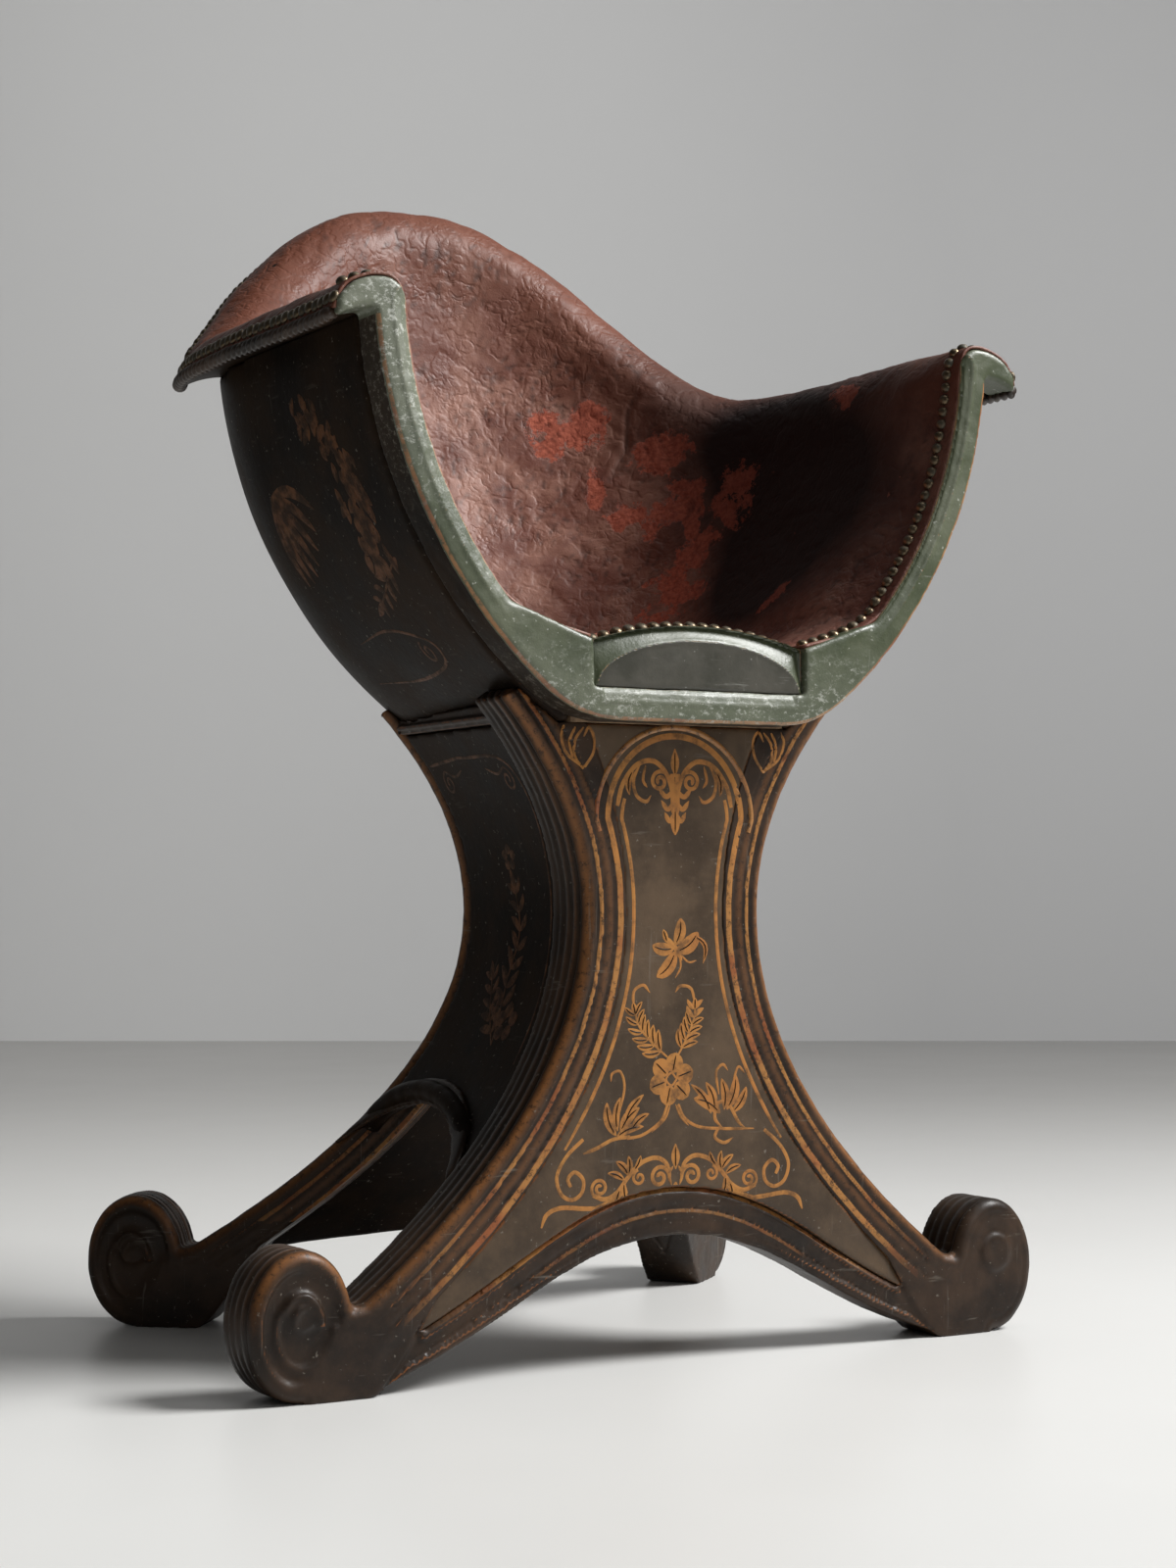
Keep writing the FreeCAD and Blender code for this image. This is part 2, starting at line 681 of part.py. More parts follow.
def build():
    nodes = {}

    nodes["seat_board"] = seat_board()
    nodes["front_rail"] = front_rail()
    right_post = front_post()
    nodes["right_front_post"] = right_post
    nodes["left_front_post"] = mirrored(right_post)
    right_end = run_forward(rail_rib(0), frame_y, frame_y + frame_depth)
    nodes["right_scroll_end"] = right_end
    nodes["left_scroll_end"] = mirrored(right_end)
    right_arm = run_forward(wall_rib(0), frame_y + frame_depth, axis_y)
    nodes["right_arm_wall"] = right_arm
    nodes["left_arm_wall"] = mirrored(right_arm)
    right_rail = run_forward(rail_rib(0), frame_y + frame_depth, axis_y)
    nodes["right_arm_rail"] = right_rail
    nodes["left_arm_rail"] = mirrored(right_rail)
    right_stave = swept_back(wall_rib, 0, stave_angle)
    nodes["right_back_wall"] = right_stave
    nodes["left_back_wall"] = mirrored(right_stave)
    nodes["back_wall"] = swept_back(wall_rib, stave_angle, 180 - stave_angle)

    right_cheek = cheek()
    nodes["right_cheek"] = right_cheek
    nodes["left_cheek"] = mirrored(right_cheek)
    right_lining = run_forward(lining_rib(0, lining_arm_low_z), frame_y + block_setback, axis_y)
    nodes["right_arm_lining"] = right_lining
    nodes["left_arm_lining"] = mirrored(right_lining)
    right_curve = swept_back(back_lining_rib, 0, stave_angle)
    nodes["right_back_lining"] = right_curve
    nodes["left_back_lining"] = mirrored(right_curve)
    nodes["back_lining"] = swept_back(back_lining_rib, stave_angle, 180 - stave_angle)
    right_turn = largest(swept_back(rail_rib, 0, stave_angle).cut([right_stave, right_curve]))
    nodes["right_back_rail"] = right_turn
    nodes["left_back_rail"] = mirrored(right_turn)
    crest = swept_back(rail_rib, stave_angle, 180 - stave_angle)
    nodes["crest_rail"] = largest(crest.cut([nodes["back_wall"], nodes["back_lining"]]))

    filled_floor = floor_plate(floor_fill, frame_y, seat_floor_z, leg_top_z + 2 * leg_top_rise)
    tub = [nodes[name] for name in TUB_WALLS] + [filled_floor]
    right_front_leg = largest(front_leg().cut(tub))
    right_rear_leg = largest(rear_leg().cut(tub))
    nodes["front_right_leg"] = right_front_leg
    nodes["front_left_leg"] = mirrored(right_front_leg)
    nodes["rear_right_leg"] = right_rear_leg
    nodes["rear_left_leg"] = mirrored(right_rear_leg)
    front_legs = [nodes["front_right_leg"], nodes["front_left_leg"]]

    nodes["front_apron"] = front_apron(front_legs)
    nodes["front_panel"] = front_panel(front_legs, nodes["front_apron"])
    right_side = largest(side_panel().cut(tub))
    nodes["right_side_panel"] = right_side
    nodes["left_side_panel"] = mirrored(right_side)
    right_moulding = side_moulding(right_side)
    nodes["right_arch_moulding"] = right_moulding
    nodes["left_arch_moulding"] = mirrored(right_moulding)
    right_collar = largest(collar_moulding().cut(tub))
    nodes["right_collar_moulding"] = right_collar
    nodes["left_collar_moulding"] = mirrored(right_collar)
    nodes["back_panel"] = largest(back_panel().cut(tub))
    walls = [nodes[name] for name in PEDESTAL_WALLS]
    nodes["compartment_floor"] = inner_board(walls, compartment_z, compartment_board)
    nodes["top_board"] = carrying_board(walls)

    sides = (-1, 1)
    nodes["rear_ledge"] = rear_ledge([leaf_pocket(side, 1) for side in sides])
    nodes["lid_board"] = lid_panel([leaf_pocket(side, -1) for side in sides])
    nodes["lid_block"] = lid_block()
    nodes["lid_cushion"] = lid_cushion()
    nodes["hinge_fixed_leaves"] = Part.makeCompound([fixed_leaf(side) for side in sides])
    nodes["hinge_lid_leaves"] = Part.makeCompound([lid_leaf(side) for side in sides])
    nodes["hinge_pins"] = Part.makeCompound([pin_hole(side, pin_radius) for side in sides])
    return nodes


os.makedirs("parts", exist_ok=True)
for name, shape in build().items():
    shape.exportStep("parts/" + name + ".step")
    print(name, len(shape.Solids), shape.isValid(), round(shape.Volume / 1000, 1))
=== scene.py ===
"""Looks of a painted gondola chair: carved wood, worn leather, dome nails and ochre ornament."""
import logging
import math
from dataclasses import dataclass
from enum import Enum
from typing import Callable, Sequence

import bmesh
import bpy
import numpy as np
from bpy.types import Material, Mesh, Node, NodeSocket, NodeTree, Object
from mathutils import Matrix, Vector, noise
from mathutils.bvhtree import BVHTree


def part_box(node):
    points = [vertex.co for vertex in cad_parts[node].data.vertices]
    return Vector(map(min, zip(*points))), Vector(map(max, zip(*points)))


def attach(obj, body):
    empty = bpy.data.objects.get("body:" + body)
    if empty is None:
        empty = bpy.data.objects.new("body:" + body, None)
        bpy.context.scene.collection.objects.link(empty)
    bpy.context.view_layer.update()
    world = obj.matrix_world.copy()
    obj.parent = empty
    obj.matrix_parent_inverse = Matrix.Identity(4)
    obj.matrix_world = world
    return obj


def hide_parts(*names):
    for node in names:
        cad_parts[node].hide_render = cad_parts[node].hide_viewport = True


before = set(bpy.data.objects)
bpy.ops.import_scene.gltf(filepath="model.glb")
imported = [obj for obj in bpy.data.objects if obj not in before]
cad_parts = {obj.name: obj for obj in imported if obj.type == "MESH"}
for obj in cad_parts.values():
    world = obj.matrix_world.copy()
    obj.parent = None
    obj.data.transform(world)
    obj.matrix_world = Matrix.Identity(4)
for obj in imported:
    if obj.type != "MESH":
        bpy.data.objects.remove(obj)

LOG = logging.getLogger("gondola_chair")
MM = 0.001
WELD = 0.02 * MM
TINY = 1e-9
SEED = 11

Colour = tuple[float, float, float, float]
Point2 = tuple[float, float]
Point3 = tuple[float, float, float]
MIRROR = np.array((-1.0, 1.0))
SIDES = ((1.0, "right"), (-1.0, "left"))


class Body(Enum):
    """Bodies of the chair that pieces ride on."""

    CHAIR = "chair"
    LID = "seat_lid"


class Slot(Enum):
    """Finishes named in the record."""

    DARK = "dark_paint"
    GREEN = "green_paint"
    BARE = "bare_wood"
    LEATHER = "leather"
    BRASS = "hinge_brass"


# Nodes and finishes


class NodeSheet:
    """Short ways to add and join nodes in one tree."""

    def __init__(self, tree: NodeTree) -> None:
        """Keep the tree and, in a material, its shader."""
        self.tree = tree
        self.shader = next((node for node in tree.nodes if node.type == "BSDF_PRINCIPLED"), None)

    def feed(self, socket: NodeSocket, value: object) -> None:
        """Join an output to a socket, or set the socket's own value."""
        if isinstance(value, NodeSocket):
            self.tree.links.new(value, socket)
        else:
            socket.default_value = value

    def add(self, kind: str, inputs: dict | None = None, **settings: object) -> Node:
        """Add a node.

        Args:
            kind: The node's type.
            inputs: Values or outputs for its sockets, by name or index.
            settings: Other properties of the node.

        Returns:
            The new node.
        """
        node = self.tree.nodes.new(kind)
        for name, value in settings.items():
            setattr(node, name, value)
        for key, value in (inputs or {}).items():
            self.feed(node.inputs[key], value)
        return node

    def paint(self, name: str, value: object) -> None:
        """Join or set a socket of the material's shader."""
        self.feed(self.shader.inputs[name], value)

    def bump(self, height: NodeSocket, strength: float, distance: float) -> None:
        """Raise the material's surface by a height."""
        node = self.add("ShaderNodeBump", {"Height": height, "Strength": strength, "Distance": distance})
        self.paint("Normal", node.outputs["Normal"])

    def math(self, operation: str, first: object, second: object = 0.0) -> NodeSocket:
        """Join two values by an operation."""
        return self.add("ShaderNodeMath", {0: first, 1: second}, operation=operation).outputs[0]

    def plus(self, first: object, second: object) -> NodeSocket:
        """Sum of two values."""
        return self.math("ADD", first, second)

    def minus(self, first: object, second: object) -> NodeSocket:
        """Difference of two values."""
        return self.math("SUBTRACT", first, second)

    def times(self, first: object, second: object) -> NodeSocket:
        """Product of two values."""
        return self.math("MULTIPLY", first, second)

    def larger(self, first: object, second: object) -> NodeSocket:
        """Larger of two values."""
        return self.math("MAXIMUM", first, second)

    def along(self, direction: Vector) -> NodeSocket:
        """Distance of a point along a direction."""
        inputs = {0: self.place(), 1: direction}
        return self.add("ShaderNodeVectorMath", inputs, operation="DOT_PRODUCT").outputs["Value"]

    def mix(self, factor: object, first: object, second: object) -> NodeSocket:
        """Mix two colours."""
        return self.add("ShaderNodeMix", {0: factor, 6: first, 7: second}, data_type="RGBA").outputs[2]

    def step(self, value: object, low: object, high: object) -> NodeSocket:
        """Smooth step from 0 at low to 1 at high."""
        sockets = {"Value": value, "From Min": low, "From Max": high}
        return self.add("ShaderNodeMapRange", sockets, interpolation_type="SMOOTHSTEP").outputs["Result"]

    def span(self, value: object, low: float, high: float) -> NodeSocket:
        """Spread a mask over a range of values."""
        sockets = {"Value": value, "To Min": low, "To Max": high}
        return self.add("ShaderNodeMapRange", sockets).outputs["Result"]

    def place(self, stretch: Point3 = (1.0, 1.0, 1.0)) -> NodeSocket:
        """Object coordinates, stretched along the axes.

        Args:
            stretch: Factor along each axis.

        Returns:
            The coordinates.
        """
        where = self.add("ShaderNodeTexCoord").outputs["Object"]
        if stretch == (1.0, 1.0, 1.0):
            return where
        return self.add("ShaderNodeMapping", {"Vector": where, "Scale": stretch}).outputs["Vector"]

    def cloud(self, scale: object, detail: float = 4.0, rough: float = 0.6,
              where: object = None) -> NodeSocket:
        """Cloudy noise.

        Args:
            scale: Scale of the noise.
            detail: Levels of detail.
            rough: Weight of the finer levels.
            where: Coordinates, or None for the piece's own.

        Returns:
            The noise as a value.
        """
        sockets = {"Scale": scale, "Detail": detail, "Roughness": rough}
        sockets["Vector"] = self.place() if where is None else where
        return self.add("ShaderNodeTexNoise", sockets).outputs["Fac"]

    def stored(self, name: str) -> NodeSocket:
        """Value stored on the piece's points under a name."""
        return self.add("ShaderNodeAttribute", attribute_name=name).outputs["Fac"]

    def group(self, tree: NodeTree, inputs: dict) -> NodeSocket:
        """Place a shared effect and give its mask.

        Args:
            tree: Node group of the effect.
            inputs: Values or outputs for its sockets, by name.

        Returns:
            The effect's mask.
        """
        node = self.add("ShaderNodeGroup", node_tree=tree)
        for name, value in inputs.items():
            self.feed(node.inputs[name], value)
        return node.outputs["Mask"]


class Effects:
    """Effects that several finishes share, each a node group with one mask."""

    def __init__(self) -> None:
        """Build every effect once."""
        self.patina = self._make("patina", ("Scale", "Low", "High"), self._patina)
        self.scratches = self._make("scratches", ("Scale", "Amount"), self._scratches)
        self.line = self._make("painted_line", ("Run", "Centre", "Half width", "Ragged", "Soft"), self._line)
        self.wear = self._make("edge_wear", ("Wear", "Scale", "Amount"), self._wear)

    def _make(self, name: str, inputs: Sequence[str], fill: Callable) -> NodeTree:
        """Build a node group.

        Args:
            name: Name of the group.
            inputs: Names of its value inputs.
            fill: Function that adds the nodes and gives the mask.

        Returns:
            The node group.
        """
        tree = bpy.data.node_groups.new(name, "ShaderNodeTree")
        for label in inputs:
            tree.interface.new_socket(label, in_out="INPUT", socket_type="NodeSocketFloat")
        tree.interface.new_socket("Mask", in_out="OUTPUT", socket_type="NodeSocketFloat")
        sheet = NodeSheet(tree)
        mask = fill(sheet, sheet.add("NodeGroupInput").outputs)
        tree.links.new(mask, sheet.add("NodeGroupOutput").inputs["Mask"])
        return tree

    @staticmethod
    def _patina(sheet: NodeSheet, given: object) -> NodeSocket:
        """Broad blotches between two limits."""
        return sheet.step(sheet.cloud(given["Scale"], 6.0, 0.65), given["Low"], given["High"])

    @staticmethod
    def _scratches(sheet: NodeSheet, given: object) -> NodeSocket:
        """Fine scratches along and across the height.

        Args:
            sheet: Sheet of the group.
            given: The group's inputs.

        Returns:
            The mask.
        """
        upright = sheet.cloud(given["Scale"], 3.0, 0.7, sheet.place((1.0, 1.0, 0.06)))
        level = sheet.cloud(given["Scale"], 3.0, 0.7, sheet.place((0.12, 0.12, 1.0)))
        return sheet.times(sheet.step(sheet.larger(upright, level), 0.64, 0.74), given["Amount"])

    @staticmethod
    def _line(sheet: NodeSheet, given: object) -> NodeSocket:
        """Hand-drawn line where a stored run is near its centre.

        Args:
            sheet: Sheet of the group.
            given: The group's inputs.

        Returns:
            The mask.
        """
        wobble = sheet.times(sheet.minus(sheet.cloud(55.0, 3.0), 0.5), given["Ragged"])
        away = sheet.math("ABSOLUTE", sheet.minus(sheet.plus(given["Run"], wobble), given["Centre"]))
        inside = sheet.minus(given["Half width"], away)
        edge = sheet.step(inside, sheet.times(given["Soft"], -1.0), given["Soft"])
        rubbed = sheet.step(sheet.cloud(210.0, 7.0, 0.8), 0.34, 0.52)
        return sheet.times(edge, rubbed)

    @staticmethod
    def _wear(sheet: NodeSheet, given: object) -> NodeSocket:
        """Rubbed edges broken up by noise."""
        broken = sheet.minus(sheet.cloud(given["Scale"], 6.0, 0.7), 0.5)
        return sheet.step(sheet.plus(sheet.times(given["Wear"], given["Amount"]), broken), 0.35, 0.75)


@dataclass(frozen=True)
class Blotch:
    """Cloudy noise cut between two limits."""

    scale: float
    detail: float
    rough: float
    low: float
    high: float
    stretch: Point3 = (1.0, 1.0, 1.0)

    def mask(self, sheet: NodeSheet) -> NodeSocket:
        """Mask that rises from 0 at the low limit to 1 at the high one."""
        cloud = sheet.cloud(self.scale, self.detail, self.rough, sheet.place(self.stretch))
        return sheet.step(cloud, self.low, self.high)


@dataclass(frozen=True)
class PaintedLine:
    """Painted line along a stored run."""

    centre: float
    half_width: float
    strength: float = 1.0
    soft: float = 0.3 * MM
    colour: Colour | None = None


def new_material(name: str) -> tuple[Material, NodeSheet]:
    """Make an empty material.

    Args:
        name: Name of the material.

    Returns:
        The material and its node sheet.
    """
    material = bpy.data.materials.new(name)
    material.use_nodes = True
    return material, NodeSheet(material.node_tree)


@dataclass(frozen=True)
class PaintFinish:
    """Old paint under varnish, with painted lines, rubbed edges, scratches and a painted glint where a piece
    stores one.
    """

    name: str
    ground: Colour
    patch: Colour
    worn: Colour
    line: Colour
    pale: Colour
    lines: tuple[PaintedLine, ...] = ()
    roughness: Point2 = (0.32, 0.6)
    coat: float = 0.25
    coat_roughness: float = 0.22
    wear: float = 0.8
    scratch: float = 0.35
    chips: float = 0.55
    lump: float = 0.5 * MM
    shine: float = 0.35
    ragged: float = 1.4 * MM
    rust: Colour = (0.235, 0.075, 0.026, 1.0)
    rusty: Blotch = Blotch(26.0, 4.0, 0.6, 0.42, 0.66)
    glint_flecks: Blotch = Blotch(190.0, 8.0, 0.8, 0.5, 0.64, (1.0, 1.0, 1.4))
    chipped: Blotch = Blotch(300.0, 3.0, 0.55, 0.67, 0.72)

    def build(self, effects: Effects) -> Material:
        """Make the material.

        Args:
            effects: The shared effects.

        Returns:
            The material.
        """
        material, sheet = new_material(self.name)
        blotch = sheet.group(effects.patina, {"Scale": 16.0, "Low": 0.35, "High": 0.68})
        colour = sheet.mix(blotch, self.ground, self.patch)
        fine = sheet.cloud(260.0, 4.0, 0.7)
        colour = sheet.mix(sheet.times(sheet.step(fine, 0.5, 0.8), 0.35), colour, self.patch)
        colour = self._lined(sheet, effects, colour)
        edges = {"Wear": sheet.stored("wear"), "Scale": 150.0, "Amount": self.wear}
        rubbed = sheet.group(effects.wear, edges)
        colour = sheet.mix(rubbed, colour, self.worn)
        scratched = sheet.group(effects.scratches, {"Scale": 170.0, "Amount": self.scratch})
        chips = sheet.times(self.chipped.mask(sheet), self.chips)
        # Painted highlight: pale flecks where the piece stores a glint; the scratches and chips beside it are
        # real wear.
        glint = sheet.times(sheet.larger(self.glint_flecks.mask(sheet), 0.12), sheet.stored("glint"))
        colour = sheet.mix(sheet.larger(sheet.larger(scratched, glint), chips), colour, self.pale)
        sheet.paint("Base Color", colour)
        sheet.paint("Specular IOR Level", self.shine)
        dull = sheet.plus(sheet.times(fine, 0.6), sheet.times(blotch, 0.4))
        sheet.paint("Roughness", sheet.span(dull, *self.roughness))
        sheet.paint("Coat Weight", self.coat)
        sheet.paint("Coat Roughness", self.coat_roughness)
        height = sheet.plus(sheet.cloud(85.0, 6.0, 0.7), sheet.times(scratched, -0.5))
        sheet.bump(sheet.plus(height, sheet.times(rubbed, -0.35)), 0.6, self.lump)
        return material

    def _lined(self, sheet: NodeSheet, effects: Effects, colour: NodeSocket) -> NodeSocket:
        """Lay the painted lines over a colour.

        Args:
            sheet: Sheet of the material.
            effects: The shared effects.
            colour: Colour under the lines.

        Returns:
            The colour with its lines.
        """
        run = sheet.stored("run")
        tone = sheet.mix(self.rusty.mask(sheet), self.line, self.rust)
        kept = sheet.minus(1.0, sheet.stored("fade"))
        for painted in self.lines:
            values = {"Run": run, "Centre": painted.centre, "Half width": painted.half_width,
                      "Ragged": self.ragged, "Soft": painted.soft}
            mask = sheet.times(sheet.group(effects.line, values), kept)
            colour = sheet.mix(sheet.times(mask, painted.strength), colour, painted.colour or tone)
        return colour


@dataclass(frozen=True)
class LeatherFinish:
    """Old oxblood leather: cracked, darkened in mottles, with painted shade where a piece stores it and in
    the creases, and suede showing where the face is gone.
    """

    name: str = "aged_leather"
    ground: Colour = (0.125, 0.04, 0.025, 1.0)
    pale: Colour = (0.25, 0.118, 0.083, 1.0)
    rim: Colour = (0.11, 0.03, 0.013, 1.0)
    dark: Colour = (0.008, 0.0025, 0.002, 1.0)
    suede: Colour = (0.36, 0.095, 0.055, 1.0)
    fibre: Colour = (0.2, 0.042, 0.024, 1.0)
    shine: float = 0.3
    cloudy: Blotch = Blotch(22.0, 6.0, 0.65, 0.36, 0.66)
    mottle: Blotch = Blotch(55.0, 6.0, 0.7, 0.55, 0.8)
    fibres: Blotch = Blotch(330.0, 4.0, 0.7, 0.35, 0.7)
    sparse: Blotch = Blotch(26.0, 3.0, 0.6, 0.4, 0.62)

    def build(self) -> Material:
        """Make the material.

        Returns:
            The material.
        """
        material, sheet = new_material(self.name)
        colour = sheet.mix(self.cloudy.mask(sheet), self.ground, self.pale)
        colour = sheet.mix(sheet.stored("rim"), colour, self.rim)
        colour = sheet.mix(sheet.times(self.mottle.mask(sheet), 0.4), colour, self.dark)
        # Painted shade: the colour goes dark where the piece stores shade.
        shade = sheet.stored("shade")
        colour = sheet.mix(shade, colour, self.dark)
        ragged = sheet.minus(sheet.cloud(62.0, 9.0, 0.78), 0.5)
        bare = sheet.step(sheet.plus(sheet.stored("worn"), sheet.times(ragged, 2.6)), 0.44, 0.52)
        suede = sheet.mix(self.fibres.mask(sheet), self.suede, self.fibre)
        # Worn patches that lie in the painted shade are darkened too.
        suede = sheet.mix(sheet.times(shade, 0.6), suede, self.dark)
        colour = sheet.mix(bare, colour, suede)
        # Painted shade in the creases and along the torn seam.
        colour = sheet.mix(sheet.times(sheet.stored("crease"), 0.55), colour, self.dark)
        sheet.paint("Base Color", colour)
        sheet.paint("Specular IOR Level", self.shine)
        gloss = sheet.span(sheet.cloud(40.0, 5.0), 0.36, 0.66)
        dull = sheet.larger(sheet.times(bare, 0.9), sheet.times(shade, 0.95))
        sheet.paint("Roughness", sheet.larger(gloss, dull))
        cells = {"Vector": sheet.place(), "Scale": 420.0}
        pores = sheet.add("ShaderNodeTexVoronoi", cells, feature="DISTANCE_TO_EDGE").outputs["Distance"]
        small = sheet.times(sheet.minus(self._creases(sheet, 105.0), 1.0), self.sparse.mask(sheet))
        folds = sheet.plus(self._creases(sheet, 60.0), sheet.times(small, 0.8))
        height = sheet.plus(sheet.times(sheet.step(pores, 0.0, 0.22), 0.12), folds)
        sheet.bump(sheet.plus(height, sheet.times(bare, -0.5)), 0.4, 0.75 * MM)
        return material

    @staticmethod
    def _creases(sheet: NodeSheet, scale: float) -> NodeSocket:
        """Height of a crumpled surface: sharp folds where a warped noise passes its middle.

        Args:
            sheet: Sheet of the material.
            scale: Scale of the noise.

        Returns:
            The height.
        """
        warp = sheet.add("ShaderNodeTexNoise", {"Vector": sheet.place(), "Scale": scale * 0.5, "Detail": 3.0})
        amount = {0: warp.outputs["Color"], 1: (0.012, 0.012, 0.012)}
        shift = sheet.add("ShaderNodeVectorMath", amount, operation="MULTIPLY").outputs[0]
        place = sheet.add("ShaderNodeVectorMath", {0: sheet.place(), 1: shift}, operation="ADD").outputs[0]
        fold = sheet.cloud(scale, 2.0, 0.5, place)
        return sheet.step(sheet.math("ABSOLUTE", sheet.minus(fold, 0.5)), 0.0, 0.09)


@dataclass(frozen=True)
class MetalFinish:
    """Aged metal with a dull patina."""

    name: str
    bright: Colour
    patina: Colour
    dulled: Blotch = Blotch(190.0, 5.0, 0.65, 0.4, 0.68)

    def build(self) -> Material:
        """Make the material.

        Returns:
            The material.
        """
        material, sheet = new_material(self.name)
        mask = self.dulled.mask(sheet)
        sheet.paint("Base Color", sheet.mix(mask, self.bright, self.patina))
        sheet.paint("Metallic", sheet.span(mask, 0.95, 0.35))
        sheet.paint("Roughness", sheet.span(mask, 0.3, 0.62))
        sheet.bump(mask, 0.4, 0.2 * MM)
        return material


@dataclass(frozen=True)
class OchreFinish:
    """Ochre brushwork, rubbed thin in places."""

    name: str
    fresh: Colour
    faded: Colour
    rubbed: Point2 = (0.42, 0.7)
    deeper: Colour = (0.8, 0.6, 0.7, 1.0)

    def build(self) -> Material:
        """Make the material.

        Returns:
            The material.
        """
        material, sheet = new_material(self.name)
        thin = sheet.step(sheet.cloud(95.0, 6.0, 0.7), *self.rubbed)
        deep = tuple(value * part for value, part in zip(self.fresh, self.deeper))
        warm = sheet.mix(sheet.cloud(40.0, 3.0), self.fresh, deep)
        sheet.paint("Base Color", sheet.mix(thin, warm, self.faded))
        sheet.paint("Specular IOR Level", 0.15)
        sheet.paint("Roughness", sheet.span(thin, 0.42, 0.6))
        sheet.bump(thin, 0.4, 0.2 * MM)
        return material


@dataclass(frozen=True)
class BoardFinish:
    """Old unpainted softwood."""

    name: str = "bare_board"
    light: Colour = (0.26, 0.165, 0.09, 1.0)
    dark: Colour = (0.12, 0.07, 0.035, 1.0)

    def build(self) -> Material:
        """Make the material.

        Returns:
            The material.
        """
        material, sheet = new_material(self.name)
        grain = sheet.cloud(120.0, 5.0, 0.65, sheet.place((1.0, 0.05, 1.0)))
        sheet.paint("Base Color", sheet.mix(sheet.step(grain, 0.35, 0.7), self.light, self.dark))
        sheet.paint("Roughness", sheet.span(grain, 0.55, 0.8))
        sheet.bump(grain, 0.5, 0.4 * MM)
        return material


@dataclass
class Finishes:
    """Every finish of the chair, built once."""

    ochre: Colour = (0.34, 0.155, 0.045, 1.0)
    amber: Colour = (0.155, 0.055, 0.016, 1.0)
    black: Colour = (0.014, 0.009, 0.006, 1.0)
    brown: Colour = (0.045, 0.025, 0.014, 1.0)
    grey: Colour = (0.19, 0.17, 0.14, 1.0)
    wear_and_highlight_tan: Colour = (0.2, 0.082, 0.027, 1.0)

    def __post_init__(self) -> None:
        """Build the materials."""
        effects = Effects()
        dark = dict(ground=self.black, patch=self.brown, worn=self.amber, line=self.ochre, pale=self.grey)
        deep = {**dark, "ground": (0.008, 0.0055, 0.004, 1.0), "patch": (0.024, 0.014, 0.008, 1.0)}
        braid = {**dark, "worn": (0.1, 0.06, 0.035, 1.0)}
        rail_lines = (PaintedLine(0.8 * MM, 1.4 * MM, 0.95), PaintedLine(14.6 * MM, 1.0 * MM, 0.4))
        paints = {
            "carved": PaintFinish("carved_leg_paint", lines=self._leg_lines(), coat=0.06, shine=0.2, **dark),
            "panel": PaintFinish(
                "panel_paint", ground=(0.038, 0.023, 0.012, 1.0), patch=(0.09, 0.056, 0.03, 1.0),
                worn=self.amber, line=self.ochre, pale=(0.2, 0.175, 0.15, 1.0), scratch=0.2, coat=0.1,
                shine=0.3),
            "shell": PaintFinish("shell_paint", coat=0.0, shine=0.05, scratch=0.1, **deep),
            "bead": PaintFinish("apron_paint", lines=rail_lines, wear=0.9, **dark),
            # The olive paint's pale colour serves both real scratches and the painted glint on the frame.
            "green": PaintFinish(
                "olive_paint", ground=(0.04, 0.051, 0.023, 1.0), patch=(0.083, 0.093, 0.053, 1.0),
                worn=(0.3, 0.15, 0.055, 1.0), line=(0.33, 0.155, 0.055, 1.0), pale=(0.4, 0.41, 0.36, 1.0),
                lines=(PaintedLine(0.6 * MM, 1.5 * MM, 0.9),), roughness=(0.3, 0.55), coat=0.1, wear=0.7,
                scratch=0.2, lump=1.0 * MM, shine=0.45),
            "lunette": PaintFinish(
                "lid_paint", ground=(0.032, 0.031, 0.022, 1.0), patch=(0.06, 0.055, 0.042, 1.0),
                worn=(0.2, 0.19, 0.15, 1.0), line=self.ochre, pale=(0.3, 0.3, 0.27, 1.0)),
            "cord": PaintFinish("edge_braid", wear=0.4, scratch=0.0, **braid)}
        for name, paint in paints.items():
            setattr(self, name, paint.build(effects))
        self.leather = LeatherFinish().build()
        self.nail = MetalFinish("nail_bronze", (0.13, 0.095, 0.058, 1.0), (0.05, 0.048, 0.034, 1.0)).build()
        self.brass = MetalFinish("hinge_brass", (0.4, 0.3, 0.14, 1.0), (0.12, 0.09, 0.05, 1.0)).build()
        self.brush = OchreFinish("ochre_brush", (0.42, 0.205, 0.055, 1.0), (0.13, 0.065, 0.028, 1.0)).build()
        self.faint = OchreFinish("faint_brush", (0.125, 0.052, 0.014, 1.0), (0.03, 0.014, 0.006, 1.0),
                                 (0.36, 0.6)).build()
        self.board = BoardFinish().build()

    def _leg_lines(self) -> tuple[PaintedLine, ...]:
        """Painted lines of the legs, and of the front rail at its own marks."""
        broad = 2.0 * MM
        # The tan lines on the round corner and the reed crowns are partly rubbed paint and partly painted
        # highlight.
        return (PaintedLine(0.5 * MM, 4.0 * MM, 0.95, 4.0 * MM, self.wear_and_highlight_tan),
                PaintedLine(-13.4 * MM, 1.5 * MM, 0.4, broad, self.wear_and_highlight_tan),
                PaintedLine(-22.4 * MM, 1.0 * MM, 0.25, broad, self.wear_and_highlight_tan),
                PaintedLine(11.6 * MM, 1.3 * MM, 0.9),
                PaintedLine(17.6 * MM, 2.0 * MM, 0.35, broad, self.wear_and_highlight_tan),
                PaintedLine(25.4 * MM, 2.0 * MM, 1.0),
                PaintedLine(100.8 * MM, 1.4 * MM, 0.95),
                PaintedLine(114.6 * MM, 1.0 * MM, 0.4))


# Mesh helpers


